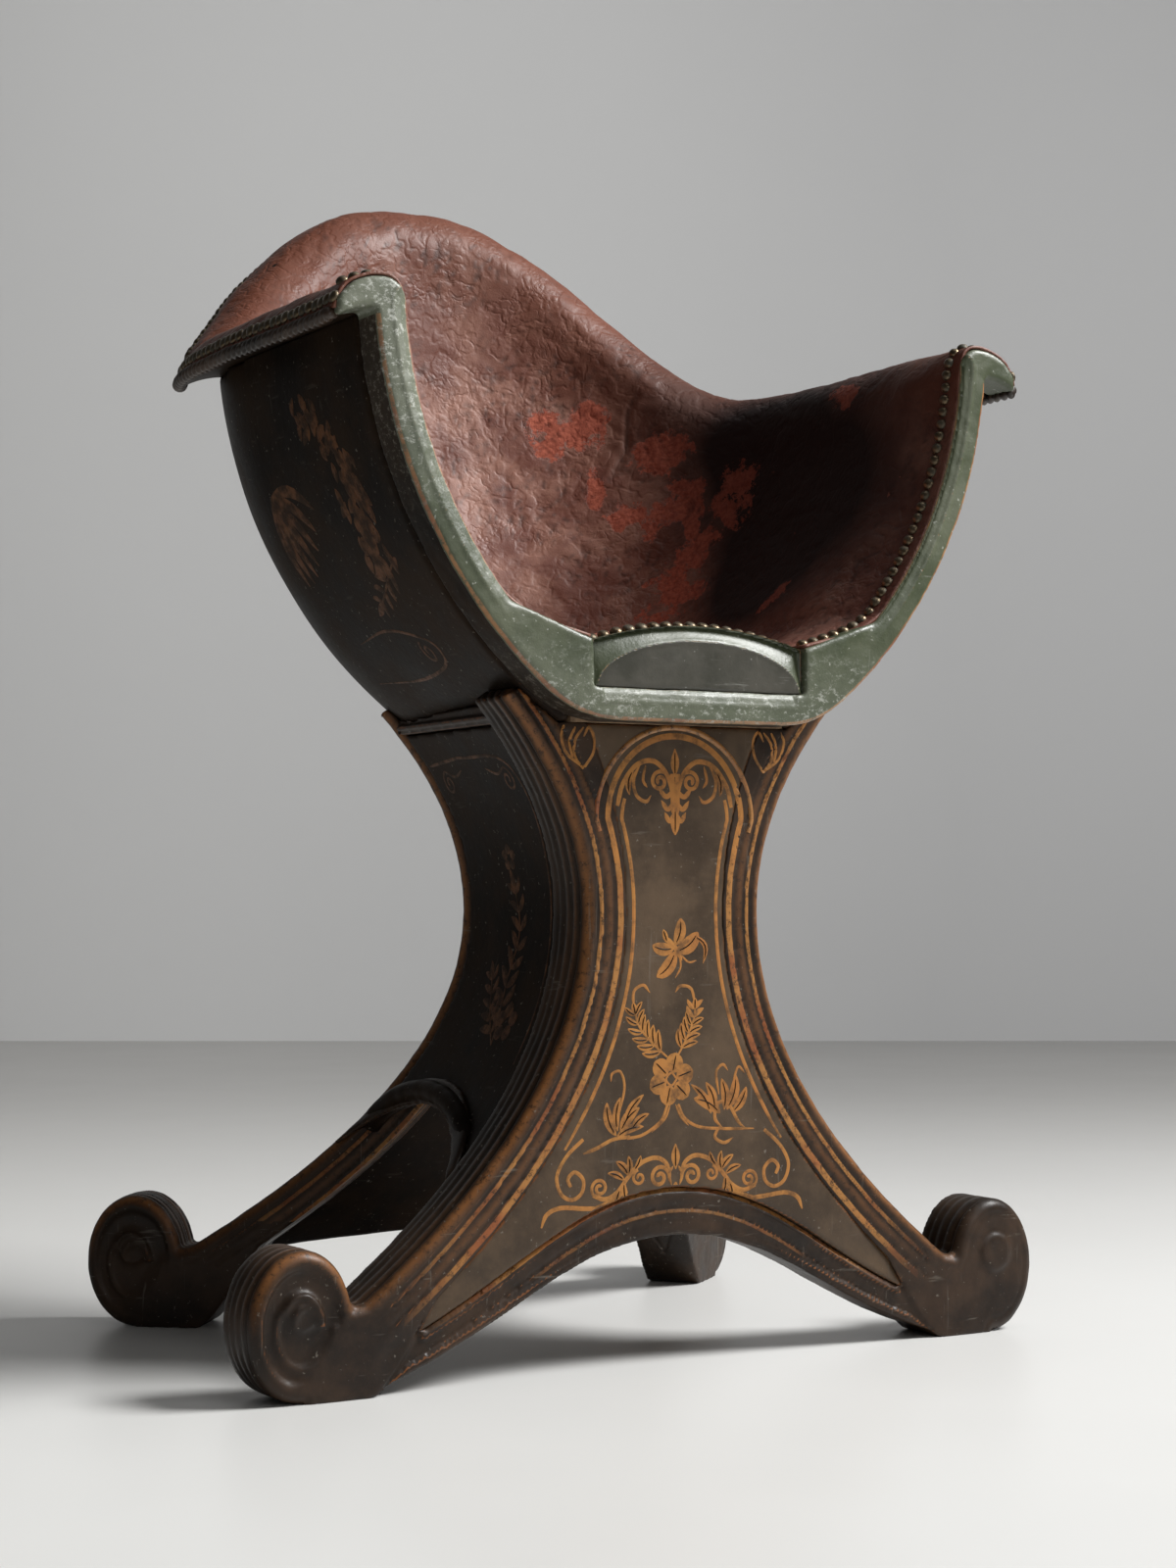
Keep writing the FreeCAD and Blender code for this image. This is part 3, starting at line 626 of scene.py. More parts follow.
def new_piece(name: str, mesh: Mesh, material: Material) -> Object:
    """Put a mesh in the scene as a smooth piece with one material.

    Args:
        name: Name of the piece.
        mesh: Its mesh.
        material: Its finish.

    Returns:
        The new object.
    """
    mesh.materials.clear()
    mesh.materials.append(material)
    mesh.shade_smooth()
    return placed(name, mesh)


def placed(name: str, data: object) -> Object:
    """Put a mesh, lamp or camera in the scene.

    Args:
        name: Name of the object.
        data: What the object holds.

    Returns:
        The new object.
    """
    made = bpy.data.objects.new(name, data)
    bpy.context.scene.collection.objects.link(made)
    return made


def settle(piece: Object, body: Body, nodes: Sequence[str] = ()) -> None:
    """Tie a finished piece to its body and hide the CAD nodes that it stands for.

    Args:
        piece: The finished piece.
        body: Body that it rides on.
        nodes: CAD nodes that it stands for.
    """
    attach(piece, body.value)
    if nodes:
        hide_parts(*nodes)
    LOG.info("%s: %d faces on %s", piece.name, len(piece.data.polygons), body.value)


def dress(node: str, material: Material) -> None:
    """Give a CAD node one material."""
    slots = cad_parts[node].data.materials
    slots.clear()
    slots.append(material)


def mesh_from(name: str, points: Sequence, faces: Sequence, edges: Sequence = ()) -> Mesh:
    """Make a mesh.

    Args:
        name: Name of the mesh.
        points: Its corners.
        faces: Corner numbers of each face.
        edges: Corner numbers of loose edges.

    Returns:
        The mesh.
    """
    mesh = bpy.data.meshes.new(name)
    mesh.from_pydata([tuple(point) for point in points], edges, [tuple(face) for face in faces])
    mesh.update()
    return mesh


def mark_points(mesh: Mesh, name: str, values: np.ndarray) -> None:
    """Store a value on every point of a mesh under a name."""
    attribute = mesh.attributes.new(name, "FLOAT", "POINT")
    attribute.data.foreach_set("value", np.asarray(values, np.float32))


def evaluated(piece: Object) -> Mesh:
    """Plain mesh of a piece with its modifiers applied."""
    graph = bpy.context.evaluated_depsgraph_get()
    return bpy.data.meshes.new_from_object(piece.evaluated_get(graph))


def remeshed(nodes: Sequence[str], voxel: float) -> Mesh:
    """Join copies of CAD nodes in one closed, evenly divided mesh.

    Args:
        nodes: CAD nodes to cover.
        voxel: Size of the faces.

    Returns:
        The mesh.
    """
    joined = bmesh.new()
    for node in nodes:
        joined.from_mesh(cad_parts[node].data)
    bmesh.ops.remove_doubles(joined, verts=joined.verts, dist=WELD)
    mesh = bpy.data.meshes.new("welded")
    joined.to_mesh(mesh)
    joined.free()
    carrier = placed("carrier", mesh)
    carrier.modifiers.new("skin", "REMESH").voxel_size = voxel
    made = evaluated(carrier)
    bpy.data.objects.remove(carrier)
    for name in [item.name for item in made.attributes if item.name.startswith("_")]:
        made.attributes.remove(made.attributes[name])
    return made


def pairs(*values: np.ndarray) -> np.ndarray:
    """Join single values side by side as points."""
    return np.stack(values, axis=-1)


def unit(vectors: np.ndarray, least: float = TINY) -> np.ndarray:
    """Vectors of length one, or shorter where they are under a least length."""
    return vectors / np.maximum(np.linalg.norm(vectors, axis=-1, keepdims=True), least)


def lengths(points: np.ndarray) -> np.ndarray:
    """Length of a line up to each of its points."""
    return np.r_[0.0, np.cumsum(np.linalg.norm(np.diff(points, axis=0), axis=1))]


def resample(points: np.ndarray, count: int, values: np.ndarray | None = None) -> np.ndarray:
    """Spread points evenly along a line.

    Args:
        points: Points of the line.
        count: Number of points wanted.
        values: Values to spread in place of the points themselves.

    Returns:
        The evenly spaced points or values.
    """
    given = points if values is None else values
    reached = lengths(points)
    wanted = np.linspace(0.0, reached[-1], count)
    return pairs(*(np.interp(wanted, reached, column) for column in given.T))


def smooth_line(points: Sequence[Sequence[float]], per_span: int = 10) -> np.ndarray:
    """Smooth curve through points.

    Args:
        points: Points that the curve passes.
        per_span: Samples between two points.

    Returns:
        Samples of the curve.
    """
    given = np.asarray(points, float)
    padded = np.vstack([2 * given[0] - given[1], given, 2 * given[-1] - given[-2]])
    samples = []
    for first, second, third, fourth in zip(padded, padded[1:], padded[2:], padded[3:]):
        for part in np.arange(per_span) / per_span:
            square, cube = part * part, part ** 3
            samples.append(0.5 * (2 * second + (third - first) * part
                                  + (2 * first - 5 * second + 4 * third - fourth) * square
                                  + (3 * second - first - 3 * third + fourth) * cube))
    samples.append(given[-1])
    return np.array(samples)


def smoothstep(value: np.ndarray, low: float, high: float | np.ndarray) -> np.ndarray:
    """Smooth step from 0 at low to 1 at high."""
    part = np.clip((value - low) / (high - low), 0.0, 1.0)
    return part * part * (3.0 - 2.0 * part)


def ridge(value: np.ndarray, centre: float | np.ndarray, width: float) -> np.ndarray:
    """Soft ridge of height 1 at a centre."""
    return np.exp(-((value - centre) / width) ** 2)


def field_noise(points: np.ndarray, scale: float, shift: float = 0.0) -> np.ndarray:
    """Cloudy noise from about -1 to 1 at each point."""
    return np.array([noise.noise(Vector(point)) for point in points * scale + shift])


def noise_vectors(points: np.ndarray, scale: float, shifts: Sequence[float]) -> np.ndarray:
    """Cloudy noise with three parts at each point."""
    return pairs(*(field_noise(points, scale, shift) for shift in shifts))


class Outline:
    """Line in a plane that distances are measured from."""

    block = 4000

    def __init__(self, points: Sequence[Sequence[float]], spacing: float = 1.0 * MM) -> None:
        """Keep evenly spaced samples of the line and their directions.

        Args:
            points: Points of the line.
            spacing: Distance between samples.
        """
        given = np.asarray(points, float)
        self.points = resample(given, max(8, int(lengths(given)[-1] / spacing)))
        self.direction = unit(np.gradient(self.points, axis=0))

    def distance(self, points: np.ndarray) -> np.ndarray:
        """Distance of each point from the line."""
        return self.measure(points)[0]

    def measure(self, points: np.ndarray) -> tuple[np.ndarray, np.ndarray]:
        """Measure points from the line, a block at a time.

        Args:
            points: Points in the line's plane.

        Returns:
            Distance of each point and the direction away from the line.
        """
        distance = np.empty(len(points))
        away = np.empty_like(points)
        for start in range(0, len(points), self.block):
            part = points[start:start + self.block]
            offset = part[:, None, :] - self.points[None, :, :]
            squared = (offset ** 2).sum(axis=2)
            nearest = squared.argmin(axis=1)
            rows = np.arange(len(part))
            along = (offset[rows, nearest] * self.direction[nearest]).sum(axis=1)
            along *= (nearest > 0) & (nearest < len(self.points) - 1)
            rest = np.maximum(squared[rows, nearest] - along ** 2, 0.0)
            distance[start:start + self.block] = np.sqrt(rest)
            away[start:start + self.block] = offset[rows, nearest] - along[:, None] * self.direction[nearest]
        return distance, unit(away)


class Skin:
    """Fine closed skin over CAD nodes whose points can be carved and marked."""

    wear_gain = 2.2

    def __init__(self, nodes: Sequence[str], voxel: float, soften: int = 1) -> None:
        """Skin copies of the nodes.

        Args:
            nodes: CAD nodes to cover.
            voxel: Size of the skin's faces.
            soften: Rounds of smoothing that round the edges.
        """
        self.nodes = tuple(nodes)
        self.voxel = voxel
        self.mesh = remeshed(nodes, voxel)
        self.points = np.empty(len(self.mesh.vertices) * 3)
        self.mesh.vertices.foreach_get("co", self.points)
        self.points = self.points.reshape(-1, 3)
        self.edges = np.empty(len(self.mesh.edges) * 2, dtype=np.int64)
        self.mesh.edges.foreach_get("vertices", self.edges)
        self.edges = self.edges.reshape(-1, 2)
        for _ in range(soften):
            self.points += 0.5 * self.sag()
        self.store()

    def sag(self) -> np.ndarray:
        """Step from each point to the middle of its neighbours.

        Returns:
            The step of each point.
        """
        total = np.zeros_like(self.points)
        count = np.zeros(len(self.points))
        for one, other in ((0, 1), (1, 0)):
            np.add.at(total, self.edges[:, one], self.points[self.edges[:, other]])
            np.add.at(count, self.edges[:, one], 1.0)
        return total / np.maximum(count, 1.0)[:, None] - self.points

    def store(self) -> None:
        """Write the points back to the mesh and take its normals."""
        self.mesh.vertices.foreach_set("co", self.points.ravel())
        self.mesh.update()
        self.normals = np.empty(len(self.points) * 3)
        self.mesh.vertex_normals.foreach_get("vector", self.normals)
        self.normals = self.normals.reshape(-1, 3)

    def noise(self, scale: float, shift: float = 0.0) -> np.ndarray:
        """Cloudy noise from about -1 to 1 at each point of the skin."""
        return field_noise(self.points, scale, shift)

    def carve(self, amount: np.ndarray) -> None:
        """Move each point along its normal, outwards where the amount is positive."""
        self.points = self.points + self.normals * amount[:, None]
        self.store()

    def mark(self, run: np.ndarray | float, **others: np.ndarray) -> None:
        """Store the run of the painted lines, the wear of proud edges and other values.

        Args:
            run: Run of each point, or one value for a skin without lines.
            others: Further values by name.
        """
        proud = -(self.sag() * self.normals).sum(axis=1)
        wear = np.clip(proud / self.voxel * self.wear_gain, -0.4, 1.0)
        for name, values in {"run": run + np.zeros(len(self.points)), **others, "wear": wear}.items():
            mark_points(self.mesh, name, values)

    def piece(self, name: str, material: Material, slot: Slot, body: Body = Body.CHAIR) -> Object:
        """Make the skin a piece that stands for its nodes.

        Args:
            name: Name of the piece.
            material: Its finish.
            slot: Not used.
            body: Body that it rides on.

        Returns:
            The piece.
        """
        made = new_piece(name, self.mesh, material)
        settle(made, body, self.nodes)
        return made


# Nails and beads


class PieceTree:
    """Geometry Nodes tree that turns a carrier mesh into a piece, with named inputs for its sizes."""

    name = "plain"
    inputs: dict[str, str] = {}

    def __init__(self) -> None:
        """Build the tree, which ends in plain geometry with its finish."""
        self.tree = bpy.data.node_groups.new(self.name, "GeometryNodeTree")
        new_socket = self.tree.interface.new_socket
        self.sockets = {}
        new_socket("Geometry", in_out="INPUT", socket_type="NodeSocketGeometry")
        for label, kind in {**self.inputs, "Finish": "NodeSocketMaterial"}.items():
            self.sockets[label] = new_socket(label, in_out="INPUT", socket_type=kind).identifier
        new_socket("Geometry", in_out="OUTPUT", socket_type="NodeSocketGeometry")
        sheet = NodeSheet(self.tree)
        given = sheet.add("NodeGroupInput").outputs
        real = sheet.add("GeometryNodeRealizeInstances", {"Geometry": self.shape(sheet, given)})
        finish = {"Geometry": real.outputs["Geometry"], "Material": given["Finish"]}
        dressed = sheet.add("GeometryNodeSetMaterial", finish)
        self.tree.links.new(dressed.outputs["Geometry"], sheet.add("NodeGroupOutput").inputs["Geometry"])

    def shape(self, sheet: NodeSheet, given: object) -> NodeSocket:
        """Geometry that the tree makes of its inputs."""
        return given["Geometry"]

    def run(self, name: str, mesh: Mesh, material: Material, values: dict) -> Object:
        """Run the tree on a carrier mesh.

        Args:
            name: Name of the piece.
            mesh: Mesh of the carrier.
            material: Finish of the piece.
            values: Values of the named inputs.

        Returns:
            The result as a plain mesh piece.
        """
        carrier = placed("carrier", mesh)
        modifier = carrier.modifiers.new("shape", "NODES")
        modifier.node_group = self.tree
        for label, value in {**values, "Finish": material}.items():
            modifier[self.sockets[label]] = value
        made = evaluated(carrier)
        bpy.data.objects.remove(carrier)
        return new_piece(name, made, material)


class NailTree(PieceTree):
    """Geometry Nodes tree that sets dome nails on points."""

    name = "dome_nails"
    inputs = {"Radius": "NodeSocketFloat", "Rise": "NodeSocketFloat", "Seed": "NodeSocketInt"}
    uneven = (0.9, 1.08)

    def shape(self, sheet: NodeSheet, given: object) -> NodeSocket:
        """Domes of slightly uneven size, each turned to face its own way.

        Args:
            sheet: Sheet of the tree.
            given: The tree's inputs.

        Returns:
            The domes as instances.
        """
        facing = sheet.add("GeometryNodeInputNamedAttribute", {"Name": "facing"}, data_type="FLOAT_VECTOR")
        vector = {"Vector": facing.outputs["Attribute"]}
        turned = sheet.add("FunctionNodeAlignRotationToVector", vector, axis="Z")
        dome = sheet.add("GeometryNodeMeshUVSphere", {"Segments": 10, "Rings": 6, "Radius": 1.0})
        sizes = sheet.add("ShaderNodeCombineXYZ", {0: given["Radius"], 1: given["Radius"], 2: given["Rise"]})
        scaled = {"Geometry": dome.outputs["Mesh"], "Scale": sizes.outputs[0]}
        shaped = sheet.add("GeometryNodeTransform", scaled)
        limits = {2: self.uneven[0], 3: self.uneven[1], "Seed": given["Seed"]}
        size = sheet.add("FunctionNodeRandomValue", limits, data_type="FLOAT")
        points = sheet.add("GeometryNodeMeshToPoints", {"Mesh": given["Geometry"]})
        spread = sheet.add("GeometryNodeInstanceOnPoints", {
            "Points": points.outputs["Points"], "Instance": shaped.outputs["Geometry"],
            "Rotation": turned.outputs["Rotation"], "Scale": size.outputs[1]})
        return spread.outputs["Instances"]

    def piece(self, name: str, places: np.ndarray, facing: np.ndarray, size: Point2,
              material: Material) -> Object:
        """Set nails on points.

        Args:
            name: Name of the piece.
            places: Where the nails stand.
            facing: Direction that each dome faces.
            size: Radius and height of a dome.
            material: Finish of the nails.

        Returns:
            The nails as one plain mesh piece.
        """
        mesh = mesh_from("carrier", places, ())
        attribute = mesh.attributes.new("facing", "FLOAT_VECTOR", "POINT")
        attribute.data.foreach_set("vector", np.asarray(facing, np.float32).ravel())
        return self.run(name, mesh, material, {"Radius": size[0], "Rise": size[1], "Seed": SEED})


class BeadTree(PieceTree):
    """Geometry Nodes tree that runs a round bead along a line."""

    name = "round_bead"
    inputs = {"Radius": "NodeSocketFloat"}

    def shape(self, sheet: NodeSheet, given: object) -> NodeSocket:
        """Tube round the line, closed at its ends.

        Args:
            sheet: Sheet of the tree.
            given: The tree's inputs.

        Returns:
            The tube.
        """
        line = sheet.add("GeometryNodeMeshToCurve", {"Mesh": given["Geometry"]})
        ring = sheet.add("GeometryNodeCurvePrimitiveCircle", {"Resolution": 10, "Radius": given["Radius"]})
        parts = {"Curve": line.outputs[0], "Profile Curve": ring.outputs[0], "Fill Caps": True}
        return sheet.add("GeometryNodeCurveToMesh", parts).outputs["Mesh"]

    def piece(self, name: str, points: np.ndarray, radius: float, material: Material) -> Object:
        """Run a bead along points and give it as a plain mesh piece."""
        edges = [(step, step + 1) for step in range(len(points) - 1)]
        return self.run(name, mesh_from("carrier", points, (), edges), material, {"Radius": radius})


# Shapes of the tub and the pedestal, as the frame has them


@dataclass
class Tub:
    """Walls of the tub: sides and back lean at different curves round one upright axis."""

    floor_half: float = 86 * MM
    arm_half: float = 228 * MM
    side_bend: float = 315 * MM
    back_floor: float = 95 * MM
    back_top: float = 215 * MM
    back_bend: float = 600 * MM
    wall: float = 20 * MM
    hump: float = 75.0
    fullness: float = 1.15

    def __post_init__(self) -> None:
        """Take heights and depths from the frame."""
        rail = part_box("front_rail")
        self.floor_z, self.board_z = rail[0].z, rail[1].z
        self.front_y = rail[0].y
        self.axis_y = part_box("right_arm_wall")[1].y
        self.arm_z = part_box("right_front_post")[1].z
        self.crest_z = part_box("back_wall")[1].z
        side_ends = (self.floor_half, self.floor_z), (self.arm_half, self.arm_z)
        back_ends = (self.back_floor, self.floor_z), (self.back_top, self.crest_z)
        self.side_centre = self._centre(*side_ends, self.side_bend)
        self.back_centre = self._centre(*back_ends, self.back_bend)

    @staticmethod
    def _centre(low: Point2, high: Point2, radius: float) -> Point2:
        """Centre of an arc that bulges outwards between two points.

        Args:
            low: Lower end.
            high: Upper end.
            radius: Radius of the arc.

        Returns:
            The centre.
        """
        run, rise = high[0] - low[0], high[1] - low[1]
        chord = math.hypot(run, rise)
        height = math.sqrt(radius ** 2 - (chord / 2) ** 2)
        return (low[0] + high[0]) / 2 - rise / chord * height, (low[1] + high[1]) / 2 + run / chord * height

    @staticmethod
    def _bent(centre: Point2, radius: float, z: np.ndarray) -> np.ndarray:
        """Reach of an arc at a height, and of its widest point above that."""
        level = np.minimum(z, centre[1]) - centre[1]
        return centre[0] + np.sqrt(radius ** 2 - level ** 2)

    def side(self, z: np.ndarray, depth: float) -> np.ndarray:
        """Reach of the side wall at a height, a depth inside its outer face."""
        return self._bent(self.side_centre, self.side_bend - depth, z)

    def back(self, z: np.ndarray, depth: float) -> np.ndarray:
        """Reach of the back wall at a height, a depth inside its outer face."""
        return self._bent(self.back_centre, self.back_bend - depth, z)

    def reach(self, angle: float, z: np.ndarray, depth: float) -> np.ndarray:
        """Reach of the wall from the axis at an angle, a height and a depth."""
        across, behind = math.cos(angle) / self.side(z, depth), math.sin(angle) / self.back(z, depth)
        return 1.0 / np.hypot(across, behind)

    def rim(self, angle: float) -> float:
        """Height of the wall's top at an angle."""
        turn = min(abs(math.degrees(angle) - 90.0) / self.hump, 1.0)
        swing = (1.0 + math.cos(math.pi * turn ** self.fullness)) / 2.0
        return self.arm_z + (self.crest_z - self.arm_z) * swing


@dataclass
class Pedestal:
    """Outlines of the hourglass pedestal."""

    waist_z: float = 287 * MM
    waist_half: float = 66 * MM
    top_half: float = 124 * MM
    top_z: float = 420 * MM
    foot_z: float = 56 * MM
    foot_half: float = 217 * MM
    rear_foot_half: float = 256 * MM
    leg_depth: float = 42 * MM
    scroll_offset: float = 41 * MM
    scroll_half: float = 34 * MM
    scroll_half_height: float = 45 * MM
    splay: float = math.radians(40.0)
    rear_pivot: float = 143 * MM
    panel_recess: float = 4 * MM
    leg_proud: float = 2.5 * MM

    def __post_init__(self) -> None:
        """Take the front plane from the frame."""
        self.front_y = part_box("front_right_leg")[0].y + self.leg_proud
        self.pivot_y = self.front_y + self.rear_pivot

    def leg_reach(self, z: np.ndarray, at_foot: float) -> np.ndarray:
        """How far a leg's outer edge stands from the middle.

        Args:
            z: Heights.
            at_foot: Reach at the foot.

        Returns:
            The reach at each height.
        """
        up = (z - self.waist_z) / (self.top_z - self.waist_z)
        down = (self.waist_z - z) / (self.waist_z - self.foot_z)
        high = self.waist_half + (self.top_half - self.waist_half) * up ** 2
        low = self.waist_half + (at_foot - self.waist_half) * down ** 2
        return np.where(z > self.waist_z, high, low)

    def inset(self, z: np.ndarray, distance: float) -> np.ndarray:
        """Line that runs a distance inside the front leg's outer edge.

        Args:
            z: Heights.
            distance: Distance from the outer edge.

        Returns:
            The line's reach at each height.
        """
        step = 0.5 * MM
        above, below = self.leg_reach(z + step, self.foot_half), self.leg_reach(z - step, self.foot_half)
        slope = (above - below) / (2 * step)
        return self.leg_reach(z, self.foot_half) - distance * np.sqrt(1.0 + slope ** 2)


@dataclass(frozen=True)
class Reed:
    """Half-round carved along a leg, across the unrolled run of its section."""

    centre: float
    half_width: float
    depth: float

    def groove(self, run: np.ndarray) -> np.ndarray:
        """Depth cut away beside the reed's crown, nothing outside its width."""
        part = (run - self.centre) / self.half_width
        round_part = 1.0 - np.sqrt(np.clip(1.0 - part ** 2, 0.0, 1.0))
        return np.where(np.abs(part) < 1.0, self.depth * round_part, 0.0)


@dataclass
class LegField:
    """Where the points of a leg's skin lie in the leg's own plane."""

    skin: Skin
    front: bool
    at_foot: float
    side: np.ndarray
    out: np.ndarray
    z: np.ndarray
    depth: np.ndarray
    edge: np.ndarray
    inward: np.ndarray
    far: np.ndarray
    across: np.ndarray
    own: np.ndarray
    hidden: np.ndarray

    def __post_init__(self) -> None:
        """Unroll the section: positive on the face, negative round the outer corner."""
        self.run = self.edge - self.across


@dataclass
class Legs:
    """Four reeded legs that sweep out into scroll feet, and the rail between the front ones."""

    pedestal: Pedestal
    finishes: Finishes
    front_voxel: float = 1.65 * MM
    rear_voxel: float = 1.5 * MM
    corner: float = 8.0 * MM
    front_width: float = 34 * MM
    rear_width: float = 60 * MM
    arch_z: float = 331 * MM
    rail_mark: float = 100 * MM
    rail_end_z: float = 24 * MM
    rail_reach: Point3 = (79 * MM, 119 * MM, 209 * MM)
    rail_bead_end: Point2 = (165 * MM, 197 * MM)
    rail_reeds: tuple[Reed, ...] = (Reed(6.6 * MM, 6.4 * MM, 2.4 * MM), Reed(17.0 * MM, 3.6 * MM, 1.0 * MM))
    front_reeds: tuple[Reed, ...] = (
        Reed(-13.4 * MM, 4.6 * MM, 2.0 * MM), Reed(-22.4 * MM, 4.4 * MM, 2.0 * MM),
        Reed(-31.0 * MM, 4.2 * MM, 1.8 * MM), Reed(17.6 * MM, 4.6 * MM, 1.9 * MM))
    rear_reeds: tuple[Reed, ...] = (
        Reed(-12.6 * MM, 4.2 * MM, 2.0 * MM), Reed(-18.9 * MM, 2.1 * MM, 1.2 * MM),
        Reed(16.0 * MM, 4.4 * MM, 1.4 * MM))

    def build(self) -> None:
        """Carve the front legs with their rail, then the rear legs."""
        self._carve(True, ("front_right_leg", "front_left_leg", "front_apron"), "front_legs_carved")
        for _, label in SIDES:
            self._carve(False, (f"rear_{label}_leg",), f"rear_{label}_leg_carved")

    def _carve(self, front: bool, nodes: Sequence[str], name: str) -> None:
        """Carve round corners, reeds, the rail's bead and the scroll's spiral.

        Args:
            front: Whether these are the front legs.
            nodes: CAD nodes to cover.
            name: Name of the piece.
        """
        skin = Skin(nodes, self.front_voxel if front else self.rear_voxel, soften=2)
        leg = self._field(skin, front)
        self._round(leg)
        amount = self._cuts(leg)
        marks, fade = self._marks(leg)
        if front:
            amount, marks, fade = self._rail(leg, amount, marks, fade)
        skin.carve(amount + 0.3 * MM * skin.noise(60.0) + 0.15 * MM * skin.noise(170.0, 4.0))
        skin.mark(marks, fade=fade)
        skin.piece(name, self.finishes.carved, Slot.DARK)

    def _field(self, skin: Skin, front: bool) -> LegField:
        """Measure a skin's points in their leg's own plane.

        Args:
            skin: Skin of the leg.
            front: Whether it is a front leg.

        Returns:
            The measured points.
        """
        shape = self.pedestal
        at_foot = shape.foot_half if front else shape.rear_foot_half
        x, y, z = np.abs(skin.points[:, 0]), skin.points[:, 1], skin.points[:, 2]
        out, depth = x, y - shape.front_y
        if not front:
            cos, sin = math.cos(shape.splay), math.sin(shape.splay)
            out = x * cos + (y - shape.pivot_y) * sin
            depth = shape.leg_depth / 2 - (x * sin - (y - shape.pivot_y) * cos)
        depth = np.clip(depth, 0.0, shape.leg_depth)
        edge, inward = self._outline(at_foot).measure(pairs(out, z))
        far = (not front) & (depth > shape.leg_depth / 2)
        hidden = front & (depth > shape.leg_depth - 2 * skin.voxel) & (edge > 3 * MM)
        return LegField(skin, front, at_foot, np.where(skin.points[:, 0] < 0.0, -1.0, 1.0), out, z, depth,
                        edge, inward, far, np.where(far, shape.leg_depth - depth, depth),
                        edge < (self.front_width if front else self.rear_width), hidden)

    def _outline(self, at_foot: float) -> Outline:
        """Outer edge of a leg from its top into the notch, then round the scroll.

        Args:
            at_foot: Reach of the edge at the foot.

        Returns:
            The edge.
        """
        shape = self.pedestal
        heights = np.linspace(shape.top_z + 20 * MM, shape.foot_z, 90)
        turns = np.radians(np.linspace(168.0, -90.0, 120))
        oval = pairs(at_foot + shape.scroll_offset + shape.scroll_half * np.cos(turns),
                     shape.scroll_half_height * (1.0 + np.sin(turns)))
        return Outline(np.vstack([pairs(shape.leg_reach(heights, at_foot), heights), oval]))

    def _rail_edge(self) -> Outline:
        """Upper edge of the right half of the arched front rail.

        Returns:
            The edge.
        """
        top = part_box("front_apron")[1].z
        fall = top - (top - self.rail_end_z) * 0.65
        flat, bend, reach = self.rail_reach
        part = np.linspace(0.0, 1.0, 80)[:, None]
        corners = np.array([(0.0, top), (flat, top), (bend, fall), (reach, self.rail_end_z)])
        weights = (1 - part) ** 3, 3 * part * (1 - part) ** 2, 3 * part ** 2 * (1 - part), part ** 3
        return Outline(sum(weight * corner for weight, corner in zip(weights, corners)))

    def _cuts(self, leg: LegField) -> np.ndarray:
        """Reeds, the grooves beside the round corner and the scrolls.

        Args:
            leg: The leg's points.

        Returns:
            How far each point moves outwards.
        """
        ends = 1.0 - smoothstep(leg.out, leg.at_foot - 22 * MM, leg.at_foot - 4 * MM)
        keep = np.where(leg.run > 5 * MM, ends, 1.0)
        amount = np.zeros(len(leg.out))
        for reed in (self.front_reeds if leg.front else self.rear_reeds):
            amount -= np.where(leg.own & ~leg.hidden, reed.groove(leg.run) * keep, 0.0)
        centres = (self.corner + 1.2 * MM, -self.corner - 0.4 * MM)
        groove = sum(ridge(leg.run, centre, 1.1 * MM) for centre in centres)
        beside = np.minimum(leg.edge, leg.across) < 2 * MM
        amount -= np.where(beside, 1.3 * MM * groove * np.maximum(keep, 0.3), 0.0)
        return amount + np.where(leg.side < 0, self._scroll(leg), 0.0)

    def _marks(self, leg: LegField) -> tuple[np.ndarray, np.ndarray]:
        """Where the painted lines run, and where they fade.

        Args:
            leg: The leg's points.

        Returns:
            Run and fading of each point.
        """
        foot, face = leg.at_foot, leg.run > 8 * MM
        in_scroll = leg.out > foot - 8 * MM + 5 * MM * leg.skin.noise(60.0, 8.0)
        bare = leg.hidden | ~leg.own | (leg.front & (leg.z > self.arch_z) & (leg.run > 21 * MM))
        bare |= (in_scroll & face) | ((leg.run > 20 * MM) & (leg.out > foot - 24 * MM))
        bare |= (not leg.front) & face & (leg.z < 80 * MM + 25 * MM * leg.skin.noise(30.0, 2.0))
        bare |= in_scroll & (leg.out > foot + 8 * MM) & (leg.side > 0)
        fade = smoothstep(leg.out, foot - 75 * MM, foot - 12 * MM)
        low = 1.0 - smoothstep(leg.z, 35 * MM, 80 * MM)
        return np.where(bare, 1.0, leg.run), np.where(face, fade, np.where(in_scroll, low, 0.35 * fade))

